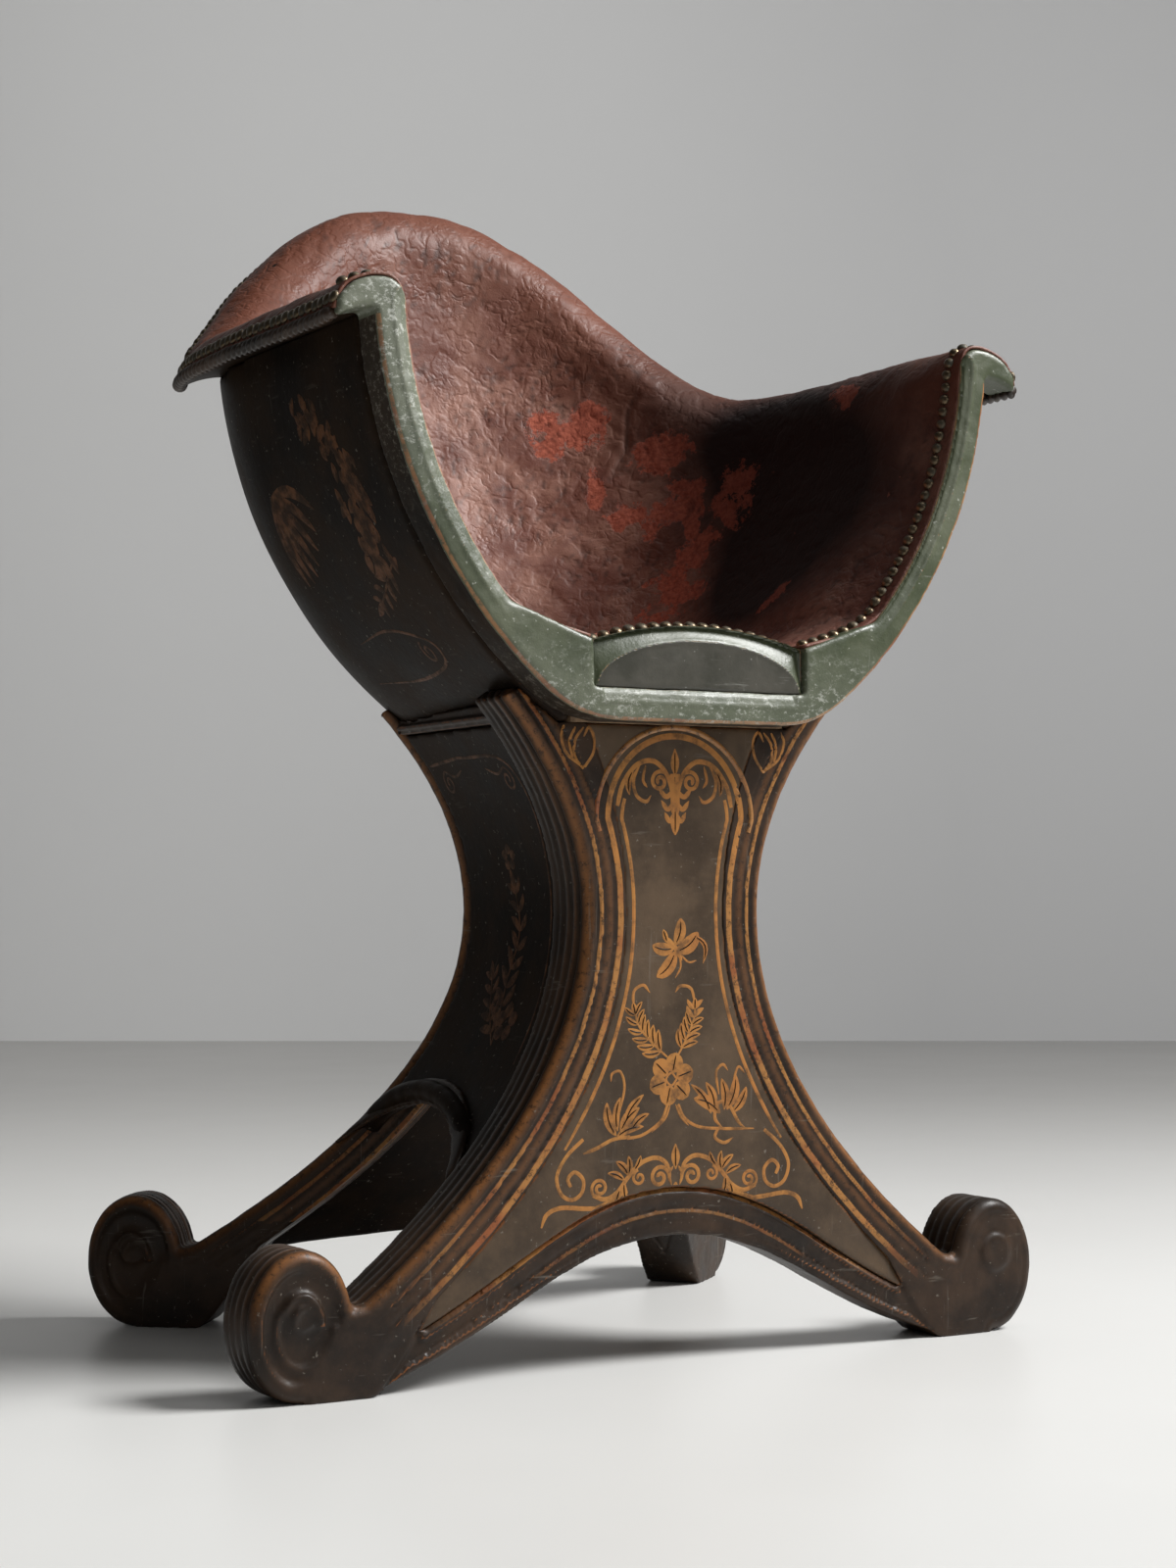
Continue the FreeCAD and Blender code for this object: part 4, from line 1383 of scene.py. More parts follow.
    def _rail(self, leg: LegField, amount: np.ndarray, marks: np.ndarray,
              fade: np.ndarray) -> tuple[np.ndarray, np.ndarray, np.ndarray]:
        """Sink the feet's inner ends to the rail, carve its bead and mark its lines.

        Args:
            leg: Points of the front legs and the rail.
            amount: How far each point moves outwards.
            marks: Run of each point.
            fade: Fading of each point.

        Returns:
            The three with the rail's own values.
        """
        low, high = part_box("front_apron")
        fall = low.y - self.pedestal.front_y
        ahead = leg.skin.normals[:, 1] < -0.4
        near = smoothstep(leg.run, 22 * MM, 38 * MM) * (1.0 - smoothstep(leg.z, 50 * MM, 90 * MM))
        sunk = fall * near * (1.0 - smoothstep(leg.out, leg.at_foot - 20 * MM, leg.at_foot))
        amount = amount - np.where((leg.depth < min(fall, 2 * MM)) & ahead, sunk, 0.0)
        below = self._rail_edge().distance(pairs(leg.out, leg.z))
        bead = sum(reed.groove(below) for reed in self.rail_reeds)
        rail = ~leg.own & (leg.z < high.z + 3 * MM)
        amount -= np.where(rail & ahead, bead * (1.0 - smoothstep(leg.out, *self.rail_bead_end)), 0.0)
        upper, inner = below < 9 * MM, 105 * MM
        shown = rail & (leg.depth < 14 * MM) & (upper | (leg.out < inner))
        marks = np.where(shown, self.rail_mark + below, marks)
        ending = smoothstep(leg.out, 90 * MM, np.where(upper, 190 * MM, inner))
        return amount, marks, np.where(shown, ending, fade)

    def _round(self, leg: LegField) -> None:
        """Turn the leg's sharp outer corner into a quarter-round.

        Args:
            leg: The leg's points, whose skin is moved.
        """
        skin, turn = leg.skin, 0.0 if leg.front else self.pedestal.splay
        flat = np.zeros(len(leg.side))
        reach_axis = pairs(leg.side * math.cos(turn), flat + math.sin(turn), flat)
        depth_axis = pairs(-leg.side * math.sin(turn), flat + math.cos(turn), flat)
        level = unit(pairs((skin.normals * reach_axis).sum(axis=1), skin.normals[:, 2]), 1e-6)
        inward = np.where((leg.edge < self.rear_voxel)[:, None], -level, leg.inward)
        place = pairs(self.corner - leg.edge, self.corner - leg.across)
        size = np.linalg.norm(np.maximum(place, 0.0), axis=1)
        outside = (place > 0.0).all(axis=1) & (size > self.corner)
        move = np.where(outside, 1.0 - self.corner / np.maximum(size, TINY), 0.0)[:, None] * place
        step = np.where(leg.far, -move[:, 1], move[:, 1])
        in_plane = inward[:, :1] * reach_axis + inward[:, 1:] * np.array((0.0, 0.0, 1.0))
        skin.points = skin.points + in_plane * move[:, :1] + step[:, None] * depth_axis
        skin.store()

    def _scroll(self, leg: LegField) -> np.ndarray:
        """Sunk face and raised spiral of the scroll.

        Args:
            leg: The leg's points.

        Returns:
            How far each point moves outwards.
        """
        shape = self.pedestal
        across = (leg.out - leg.at_foot - shape.scroll_offset) / shape.scroll_half
        up = (leg.z - shape.scroll_half_height) / shape.scroll_half_height
        radius = np.hypot(across, up)
        turn = (np.arctan2(up, across) + math.pi) / (2 * math.pi)
        face = (np.minimum(leg.depth, shape.leg_depth - leg.depth) < 1.5 * MM) & (radius < 1.0)
        heel = smoothstep(-across - up, 0.35, 0.9)
        sunk = (1.0 - smoothstep(radius, 0.7, 0.8)) * (1.0 - heel)
        comma = ridge(radius, 0.36 * turn, 0.07) * smoothstep(turn, 0.35, 0.7)
        raised = ridge(radius, 0.62 - 0.26 * turn, 0.06) + comma
        return np.where(face, (-3.0 * sunk + 2.0 * raised * sunk) * MM, 0.0)


@dataclass
class PedestalSkins:
    """Front, side and back panels, arch and collar mouldings."""

    pedestal: Pedestal
    finishes: Finishes
    beads: BeadTree
    bead_radius: float = 7.5 * MM
    collar_ridges: tuple[Point2, ...] = ((4.5 * MM, 2.0 * MM), (11.5 * MM, 2.2 * MM))

    def build(self) -> None:
        """Skin the boards and mouldings of the pedestal."""
        for _, label in SIDES:
            self._board(f"{label}_side_panel", 2.2 * MM)
            self._moulding(f"{label}_arch_moulding")
            self._collar(f"{label}_collar_moulding")
        self._board("back_panel", 1.7 * MM)
        self._front()

    def _front(self) -> None:
        """Front panel, filled with gesso almost level with the legs."""
        skin = Skin(("front_panel",), 1.8 * MM)
        front = smoothstep(-skin.normals[:, 1], 0.3, 0.7)
        beside = smoothstep(np.abs(skin.normals[:, 0]), 0.2, 0.6)
        skin.points[:, 0] += np.sign(skin.points[:, 0]) * beside * 2.2 * MM
        level = 0.25 + 0.75 * smoothstep(skin.points[:, 2], 50 * MM, 90 * MM)
        skin.points[:, 1] -= front * level * (self.pedestal.panel_recess - 0.4 * MM)
        skin.store()
        skin.carve(0.3 * MM * skin.noise(30.0) * front)
        skin.mark(-1.0)
        skin.piece("front_panel_board", self.finishes.panel, Slot.DARK)

    def _board(self, node: str, voxel: float) -> None:
        """Plain curved board with a slightly uneven face.

        Args:
            node: CAD node of the board.
            voxel: Size of the skin's faces.
        """
        skin = Skin((node,), voxel, soften=5)
        skin.carve(0.4 * MM * skin.noise(22.0))
        skin.mark(-1.0)
        skin.piece(node + "_board", self.finishes.shell, Slot.DARK)

    def _moulding(self, node: str) -> None:
        """Rounded bead along the side arch, on its own board.

        Args:
            node: CAD node of the moulding.
        """
        skin = Skin((node,), 1.2 * MM, soften=14)
        skin.carve(1.0 * MM + 0.3 * MM * skin.noise(60.0))
        skin.mark(-1.0)
        skin.piece(node + "_board", self.finishes.carved, Slot.DARK)
        low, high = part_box(node)
        angle = np.arctan2(skin.points[:, 2] - low.z, skin.points[:, 1] - (low.y + high.y) / 2)
        crown = []
        for turn in np.linspace(0.3, math.pi - 0.3, 22):
            near = skin.points[np.abs(angle - turn) < 0.06]
            if len(near) > 6:
                middle = near.mean(axis=0)
                sink = 3.2 * MM + 26 * MM * abs(2 * turn / math.pi - 1) ** 4
                reach = np.abs(near[:, 0]).max() - sink
                crown.append((math.copysign(reach, middle[0]), middle[1], middle[2]))
        line = resample(smooth_line(crown, 6), 90)
        bead = self.beads.piece(node + "_bead", line, self.bead_radius, self.finishes.shell)
        settle(bead, Body.CHAIR)

    def _collar(self, node: str) -> None:
        """Collar with two shallow ridges.

        Args:
            node: CAD node of the collar.
        """
        skin = Skin((node,), 1.5 * MM, soften=2)
        rise = skin.points[:, 2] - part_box(node)[0].z
        ridges = sum(ridge(rise, centre, width) for centre, width in self.collar_ridges)
        outward = np.abs(skin.normals[:, 0]) > 0.25
        skin.carve(np.where(outward, (ridges - 0.75) * 2.4 * MM, 0.0))
        skin.mark(-1.0)
        skin.piece(node + "_ridged", self.finishes.carved, Slot.DARK)


@dataclass
class FrontFrame:
    """Green U-shaped frame with its scroll ends and the cheeks beside the lid."""

    tub: Tub
    finishes: Finishes
    voxel: float = 1.5 * MM
    bevel: float = 8.5 * MM
    foot_round: float = 80 * MM
    nodes: tuple[str, ...] = ("front_rail", "right_front_post", "left_front_post", "right_scroll_end",
                              "left_scroll_end", "right_cheek", "left_cheek")

    def _edges(self) -> tuple[Outline, Outline]:
        """Inner and outer edge of the right half of the U in the front plane.

        Returns:
            The two edges.
        """
        tub = self.tub
        heights = np.linspace(tub.board_z, tub.arm_z + 6 * MM, 80)
        upright = pairs(tub.side(heights, tub.wall), heights)
        inner = np.vstack([[(0.0, tub.board_z)], upright[:1], upright])
        round_z = tub.floor_z + self.foot_round
        distance = tub.side_bend - self.foot_round
        run = math.sqrt(distance ** 2 - (round_z - tub.side_centre[1]) ** 2)
        turns = np.linspace(-math.pi / 2, math.atan2(round_z - tub.side_centre[1], run), 20)
        foot_arc = pairs(tub.side_centre[0] + run + self.foot_round * np.cos(turns),
                         round_z + self.foot_round * np.sin(turns))
        levels = np.linspace(foot_arc[-1, 1], tub.arm_z, 80)[1:]
        outer = np.vstack([[(0.0, tub.floor_z)], foot_arc, pairs(tub.side(levels, 0.0), levels)])
        return Outline(inner), Outline(outer)

    def build(self) -> None:
        """Skin the frame and the cheeks as one piece with a bevel and a ridge along its inner edge."""
        tub, skin = self.tub, Skin(self.nodes, self.voxel, soften=4)
        plane = pairs(np.abs(skin.points[:, 0]), skin.points[:, 2])
        from_inner, from_outer = (edge.distance(plane) for edge in self._edges())
        front = skin.normals[:, 1] < -0.45
        slope = np.clip(1.0 - from_inner / self.bevel, 0.0, 1.0) * 2.4 * MM
        crest = ridge(from_inner, self.bevel, 1.1 * MM) * 0.7 * MM
        beside = plane[:, 0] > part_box("lid_block")[1].x - 6 * MM
        plain = np.where(beside, smoothstep(plane[:, 1], tub.board_z + 25 * MM, tub.board_z + 75 * MM), 0.6)
        uneven = 0.45 * MM * skin.noise(45.0) + 0.25 * MM * skin.noise(140.0, 3.0)
        skin.carve(np.where(front, (crest - slope) * plain, 0.0) + uneven)
        x, y, z = skin.points.T
        deep = np.maximum(y - tub.front_y, 0.0)
        top = z > tub.arm_z - 3 * MM
        # Painted highlight: the glint value makes pale flecks low on the frame and up the left post.
        low = 1.0 - smoothstep(z, tub.board_z - 4 * MM, tub.board_z + 40 * MM)
        high = smoothstep(z, tub.board_z + 70 * MM, tub.arm_z - 40 * MM)
        glint = np.clip(0.7 * low + high * np.where(x < 0, 1.0, 0.0), 0.0, 1.0)
        skin.mark(np.where(top, 1.0, np.maximum(from_outer, deep)), glint=glint)
        piece = skin.piece("front_frame_painted", self.finishes.green, Slot.GREEN)
        piece.data.materials.append(self.finishes.shell)
        outside = (from_outer < 2.5 * MM) & (deep > 3 * MM) & ~top
        for face in piece.data.polygons:
            if outside[list(face.vertices)].all():
                face.material_index = 1


@dataclass
class Shell:
    """Outer wall of the tub and the rail under the leather."""

    finishes: Finishes
    parts: tuple[str, ...] = ("right_arm", "right_back", "back", "left_back", "left_arm")
    rails: tuple[str, ...] = ("right_arm_rail", "right_back_rail", "crest_rail", "left_back_rail",
                              "left_arm_rail")

    def build(self) -> None:
        """Skin the wall and the rail as one painted surface each."""
        walls = [part + "_wall" for part in self.parts]
        for nodes, name, voxel in ((walls, "tub_shell", 3.0 * MM), (self.rails, "rim_rail", 2.2 * MM)):
            skin = Skin(nodes, voxel)
            skin.carve(0.7 * MM * skin.noise(14.0))
            skin.mark(-1.0)
            skin.piece(name, self.finishes.shell, Slot.DARK)


@dataclass(frozen=True)
class WearAndShadeSpot:
    """Round spot on the leather with a ragged edge, used both for worn patches and for painted shade."""

    place: Point3
    radius: float
    strength: float = 1.0

    def mask(self, points: np.ndarray) -> np.ndarray:
        """Strength of the spot at each point."""
        away = np.linalg.norm(points - np.array(self.place), axis=1)
        return self.strength * np.clip(1.25 - away / self.radius, 0.0, 1.0)


@dataclass
class LeatherCover:
    """Leather that lines the tub, rolls over the rim and ends at the nailed lip."""

    tub: Tub
    finishes: Finishes
    rows: int = 144
    arm_columns: int = 68
    back_columns: int = 196
    thickness: float = 2.0 * MM
    padding: float = 14.3 * MM
    edge_padding: float = 0.9 * MM
    edge_draw: float = 58 * MM
    front_gap: float = 3.0 * MM
    lid_half: float = 80.0 * MM
    lid_back_y: float = 2.0 * MM
    edge_z: Point2 = (458.5 * MM, 445.5 * MM)
    foot_z: Point2 = (496 * MM, 466 * MM)
    lip: float = 25 * MM
    linings: tuple[str, ...] = ("right_arm_lining", "left_arm_lining", "right_back_lining",
                                "left_back_lining", "back_lining")
    patches: tuple[WearAndShadeSpot, ...] = (
        WearAndShadeSpot((0.085, 0.128, 0.645), 0.024), WearAndShadeSpot((0.110, 0.117, 0.650), 0.024),
        WearAndShadeSpot((0.157, 0.072, 0.628), 0.026), WearAndShadeSpot((0.154, 0.055, 0.583), 0.030),
        WearAndShadeSpot((0.115, 0.102, 0.600), 0.014), WearAndShadeSpot((0.129, 0.082, 0.577), 0.016),
        WearAndShadeSpot((0.183, 0.006, 0.600), 0.026, 0.9), WearAndShadeSpot((0.174, 0.018, 0.578), 0.020, 0.9),
        WearAndShadeSpot((0.139, 0.029, 0.521), 0.030, 0.9), WearAndShadeSpot((0.150, 0.030, 0.553), 0.026, 0.95),
        WearAndShadeSpot((0.140, -0.095, 0.503), 0.014, 0.9), WearAndShadeSpot((0.140, 0.020, 0.495), 0.020, 0.85),
        WearAndShadeSpot((0.194, -0.100, 0.650), 0.016, 0.75), WearAndShadeSpot((0.192, -0.030, 0.655), 0.014, 0.7))
    # Painted shade: dark spots over the right inner wall and beside the seam.
    shadows: tuple[WearAndShadeSpot, ...] = (
        WearAndShadeSpot((0.200, -0.090, 0.570), 0.145, 1.2), WearAndShadeSpot((0.193, -0.019, 0.634), 0.06, 0.5),
        WearAndShadeSpot((0.150, -0.050, 0.525), 0.06, 0.7), WearAndShadeSpot((0.168, 0.070, 0.680), 0.07, 0.5),
        WearAndShadeSpot((0.168, 0.040, 0.610), 0.07, 0.45))
    seam: tuple[Point3, ...] = (
        (0.156, 0.086, 0.692), (0.141, 0.094, 0.664), (0.134, 0.094, 0.634), (0.122, 0.098, 0.606))

    def build(self) -> None:
        """Make the leather as one closed sheet, and keep its face for the nails."""
        grid = np.stack([self._section(*column) for column in self._columns()])
        for _ in range(4):
            grid[:, 1:-1] += 0.5 * ((grid[:, :-2] + grid[:, 2:]) / 2 - grid[:, 1:-1])
        normals = self._normals(grid)
        height, crease = self._wrinkles(grid.reshape(-1, 3))
        edge = np.minimum(np.arange(len(grid)), np.arange(len(grid))[::-1])
        calm = np.clip(edge / 10.0, 0.15, 1.0)[:, None]
        height = height.reshape(grid.shape[:2]) * calm
        self.surface = grid + normals * height[:, :, None]
        self.normals = self._normals(self.surface)
        piece = self._shell(self.surface, grid - normals * self.thickness, crease)
        settle(piece, Body.CHAIR, self.linings)

    def _columns(self) -> list[Point2]:
        """List the columns from the left arm round the back to the right arm.

        Returns:
            Depth and turn of each column.
        """
        axis_y = self.tub.axis_y
        arm = np.linspace(self.tub.front_y + self.front_gap, axis_y, self.arm_columns, endpoint=False)
        turns = np.linspace(math.pi, 0.0, self.back_columns)
        left, right = [(y, math.pi) for y in arm], [(y, 0.0) for y in arm[::-1]]
        return left + [(axis_y, turn) for turn in turns] + right

    def _pad(self, y: float) -> float:
        """Padding thickness: drawn in at the nailed front edge."""
        inside = np.array(y - self.tub.front_y - self.front_gap)
        drawn = float(smoothstep(inside, 0.0, self.edge_draw))
        return self.edge_padding + (self.padding - self.edge_padding) * drawn

    def _section(self, y: float, turn: float) -> np.ndarray:
        """Points of one column from the lid's edge up and over the rim to the lip.

        Args:
            y: Depth of the column's axis.
            turn: Angle of the column round the axis.

        Returns:
            The points.
        """
        tub = self.tub
        pad = self._pad(y) if turn in (0.0, math.pi) else self.padding
        rim = tub.rim(turn)
        depth = tub.wall + pad
        across, behind = max(abs(math.cos(turn)), 1e-6), math.sin(turn)
        start = min(self.lid_half / across, (self.lid_back_y - tub.axis_y) / max(behind, 1e-6))
        flat = smoothstep(np.array(math.degrees(math.asin(min(behind, 1.0)))), 4.0, 28.0)
        start_z, foot_z = (low + (high - low) * flat for low, high in (self.edge_z, self.foot_z))
        foot = float(tub.reach(turn, np.array(foot_z), depth))
        slope = [(start + (foot - start) * run, start_z + (foot_z - start_z) * rise)
                 for run, rise in ((0.0, 0.0), (0.5, 0.26), (0.82, 0.58))]
        levels = np.linspace(foot_z, rim - 12 * MM, 14)
        wall = list(zip(tub.reach(turn, levels, depth), levels))
        out = float(tub.reach(turn, np.array(rim), 0.0))
        base = rim + 0.6 * MM
        roll = [(out - tub.wall - pad * 0.72, base + 4 * MM), (out - 15.5 * MM, base + 18.2 * MM),
                (out - 2 * MM, base + 21.5 * MM), (out + 16.5 * MM, base + 15.2 * MM),
                (out + self.lip - 0.2 * MM, base + 5.5 * MM), (out + self.lip + 2.2 * MM, base - 3.0 * MM)]
        reach, z = resample(smooth_line(slope + wall + roll, 6), self.rows).T
        return pairs(reach * math.cos(turn), y + reach * math.sin(turn), z)

    @staticmethod
    def _normals(grid: np.ndarray) -> np.ndarray:
        """Normals of a grid of points, facing the sitter."""
        return unit(np.cross(np.gradient(grid, axis=0), np.gradient(grid, axis=1)))

    def _wrinkles(self, points: np.ndarray) -> tuple[np.ndarray, np.ndarray]:
        """Puckers, folds and the torn seam.

        Args:
            points: Points of the leather.

        Returns:
            Height of each point and the depth of its crease.
        """
        warp = noise_vectors(points, 24.0, (0.0, 17.0, 31.0)) * 9 * MM
        swell = 1.5 * MM * field_noise(points, 15.0) + 0.8 * MM * field_noise(points, 34.0, 5.0)
        patchy = smoothstep(field_noise(points, 19.0, 9.0), -0.35, 0.3)
        folds = np.abs(field_noise(points + warp, 46.0, 2.0))
        pucker = np.abs(field_noise(points + warp * 0.6, 95.0, 7.0))
        crease = (1.0 - smoothstep(pucker, 0.0, 0.1)) * patchy
        height = swell + (0.55 * smoothstep(folds, 0.0, 0.3) - 0.4) * MM
        height += (0.42 * smoothstep(pucker, 0.0, 0.22) - 0.25) * MM * patchy
        spots = [points[np.argmin(np.linalg.norm(points - spot, axis=1))] for spot in np.array(self.seam)]
        line = resample(smooth_line(spots, 12), 60)
        away = np.min([np.linalg.norm(points + warp * 0.3 - spot, axis=1) for spot in line], axis=0)
        height += (0.8 * ridge(away, 4 * MM, 2 * MM) - 1.5 * ridge(away, 0.0, 1.6 * MM)) * MM
        return height, np.maximum(crease, ridge(away, 0.0, 1.4 * MM))

    def _shell(self, outer: np.ndarray, inner: np.ndarray, crease: np.ndarray) -> Object:
        """Closed sheet between the outer and inner points, with its marks.

        Args:
            outer: Grid of the leather's face.
            inner: Grid of its back.
            crease: Depth of the crease at each point of the face, which the finish darkens as painted shade.

        Returns:
            The piece.
        """
        columns, rows = outer.shape[:2]
        count = columns * rows
        index = np.arange(count).reshape(columns, rows)
        corners = [part.ravel() for part in (index[:-1, :-1], index[1:, :-1], index[1:, 1:], index[:-1, 1:])]
        front = pairs(*corners)
        back = pairs(*corners[::-1]) + count
        loop = np.r_[index[:, 0], index[-1, 1:], index[-2::-1, -1], index[0, -2:0:-1]]
        following = np.roll(loop, -1)
        rim = pairs(following, loop, loop + count, following + count)
        visible = outer.reshape(-1, 3)
        points = np.vstack([visible, inner.reshape(-1, 3)])
        mesh = mesh_from("leather_cover", points, np.vstack([front, back, rim]))
        drift = noise_vectors(visible, 38.0, (3.0, 23.0, 41.0)) * 16 * MM
        worn = np.max([patch.mask(visible + drift) for patch in self.patches], axis=0)
        # Painted shade from the shadow spots, stored as shade.
        shade = np.clip(np.sum([shadow.mask(visible) for shadow in self.shadows], axis=0), 0.0, 1.0)
        top = np.tile(smoothstep(np.arange(rows) / rows, 0.55, 0.95), columns)
        for name, values in (("worn", worn), ("shade", shade), ("rim", top), ("crease", crease)):
            mark_points(mesh, name, np.r_[values, np.zeros(count)])
        return new_piece("leather_cover", mesh, self.finishes.leather)


@dataclass
class Nailing:
    """Rows of dome nails and the twisted braid along the leather's edges."""

    leather: LeatherCover
    finishes: Finishes
    nails: NailTree
    pitch: Point2 = (8.3 * MM, 8.4 * MM)
    edge_size: Point2 = (4.1 * MM, 3.2 * MM)
    lip_size: Point2 = (4.3 * MM, 2.6 * MM)
    edge_tilt: Point3 = (0.0, -0.3, 0.0)
    braid_drop: Point3 = (0.0, 0.0, -3.6 * MM)
    braid_radius: float = 4.3 * MM
    braid_pitch: float = 15.0 * MM
    braid_sides: int = 14

    def build(self) -> None:
        """Set the rows and lay the braid."""
        grid, normals = self.leather.surface, self.leather.normals
        for label, column in (("left", 4), ("right", len(grid) - 5)):
            line, facing = self._even(grid[column, 3:-10], normals[column, 3:-10], self.pitch[0])
            self._row(f"{label}_edge_nails", line, unit(facing + np.array(self.edge_tilt)), self.edge_size)
        lip, outward = self._even(grid[1:-1, -4], normals[1:-1, -4], self.pitch[1])
        self._row("lip_nails", lip, outward, self.lip_size)
        self._braid(resample(grid[1:-1, -1] + np.array(self.braid_drop), 1100))

    def _row(self, name: str, places: np.ndarray, facing: np.ndarray, size: Point2) -> None:
        """Set one row of nails on the chair."""
        settle(self.nails.piece(name, places, facing, size, self.finishes.nail), Body.CHAIR)

    @staticmethod
    def _even(points: np.ndarray, facing: np.ndarray, pitch: float) -> tuple[np.ndarray, np.ndarray]:
        """Spread places and their normals evenly along a line."""
        count = max(2, round(lengths(points)[-1] / pitch))
        return resample(points, count), unit(resample(points, count, facing))

    def _braid(self, line: np.ndarray) -> None:
        """Two-strand cord along a line.

        Args:
            line: Points of the cord's middle.
        """
        direction = unit(np.gradient(line, axis=0))
        across = unit(np.cross(direction, np.array((0.0, 0.0, 1.0))))
        rise = np.cross(across, direction)
        turns = np.arange(self.braid_sides) * 2 * math.pi / self.braid_sides
        twist = lengths(line)[:, None] / self.braid_pitch * 2 * math.pi
        size = self.braid_radius * (0.66 + 0.42 * np.abs(np.cos(turns[None, :] - twist)))
        points = (line[:, None, :] + (size * np.cos(turns))[:, :, None] * across[:, None, :]
                  + (size * np.sin(turns))[:, :, None] * rise[:, None, :])
        mesh = mesh_from("lip_braid", points.reshape(-1, 3), tube_faces(len(line), self.braid_sides))
        settle(new_piece("lip_braid", mesh, self.finishes.cord), Body.CHAIR)


def tube_faces(rings: int, sides: int) -> list[tuple[int, ...]]:
    """Faces of a closed tube with both ends filled.

    Args:
        rings: Number of rings along the tube.
        sides: Points of each ring.

    Returns:
        Corner numbers of each face.
    """
    faces = []
    for low in range(0, (rings - 1) * sides, sides):
        for side in range(sides):
            following = (side + 1) % sides
            faces.append((low + side, low + following, low + sides + following, low + sides + side))
    faces.append(tuple(range(sides))[::-1])
    faces.append(tuple(range((rings - 1) * sides, rings * sides)))
    return faces


# Painted ornament


class Canvas:
    """Surface that strokes are painted on, found by a ray along one direction."""

    def __init__(self, pieces: Sequence[str], lay: Callable[[float, float], tuple[Vector, Vector]]) -> None:
        """Keep the surface and the rule that turns stroke points into rays.

        Args:
            pieces: Names of the pieces that carry the strokes.
            lay: Gives a ray's start and direction for two stroke coordinates.
        """
        corners, faces = [], []
        for name in pieces:
            mesh = bpy.data.objects[name].data
            base = len(corners)
            corners += [vertex.co.copy() for vertex in mesh.vertices]
            faces += [tuple(index + base for index in face.vertices) for face in mesh.polygons]
        self.tree = BVHTree.FromPolygons(corners, faces)
        self.lay = lay

    def spot(self, along: float, up: float) -> tuple[Vector, Vector] | None:
        """Find the surface under a stroke point.

        Args:
            along: First stroke coordinate.
            up: Second stroke coordinate.

        Returns:
            Point and normal of the surface, or None beside it.
        """
        start, direction = self.lay(along, up)
        place, normal, _, _ = self.tree.ray_cast(start, direction)
        if place is None:
            return None
        return place, (normal if normal.dot(direction) < 0 else -normal)


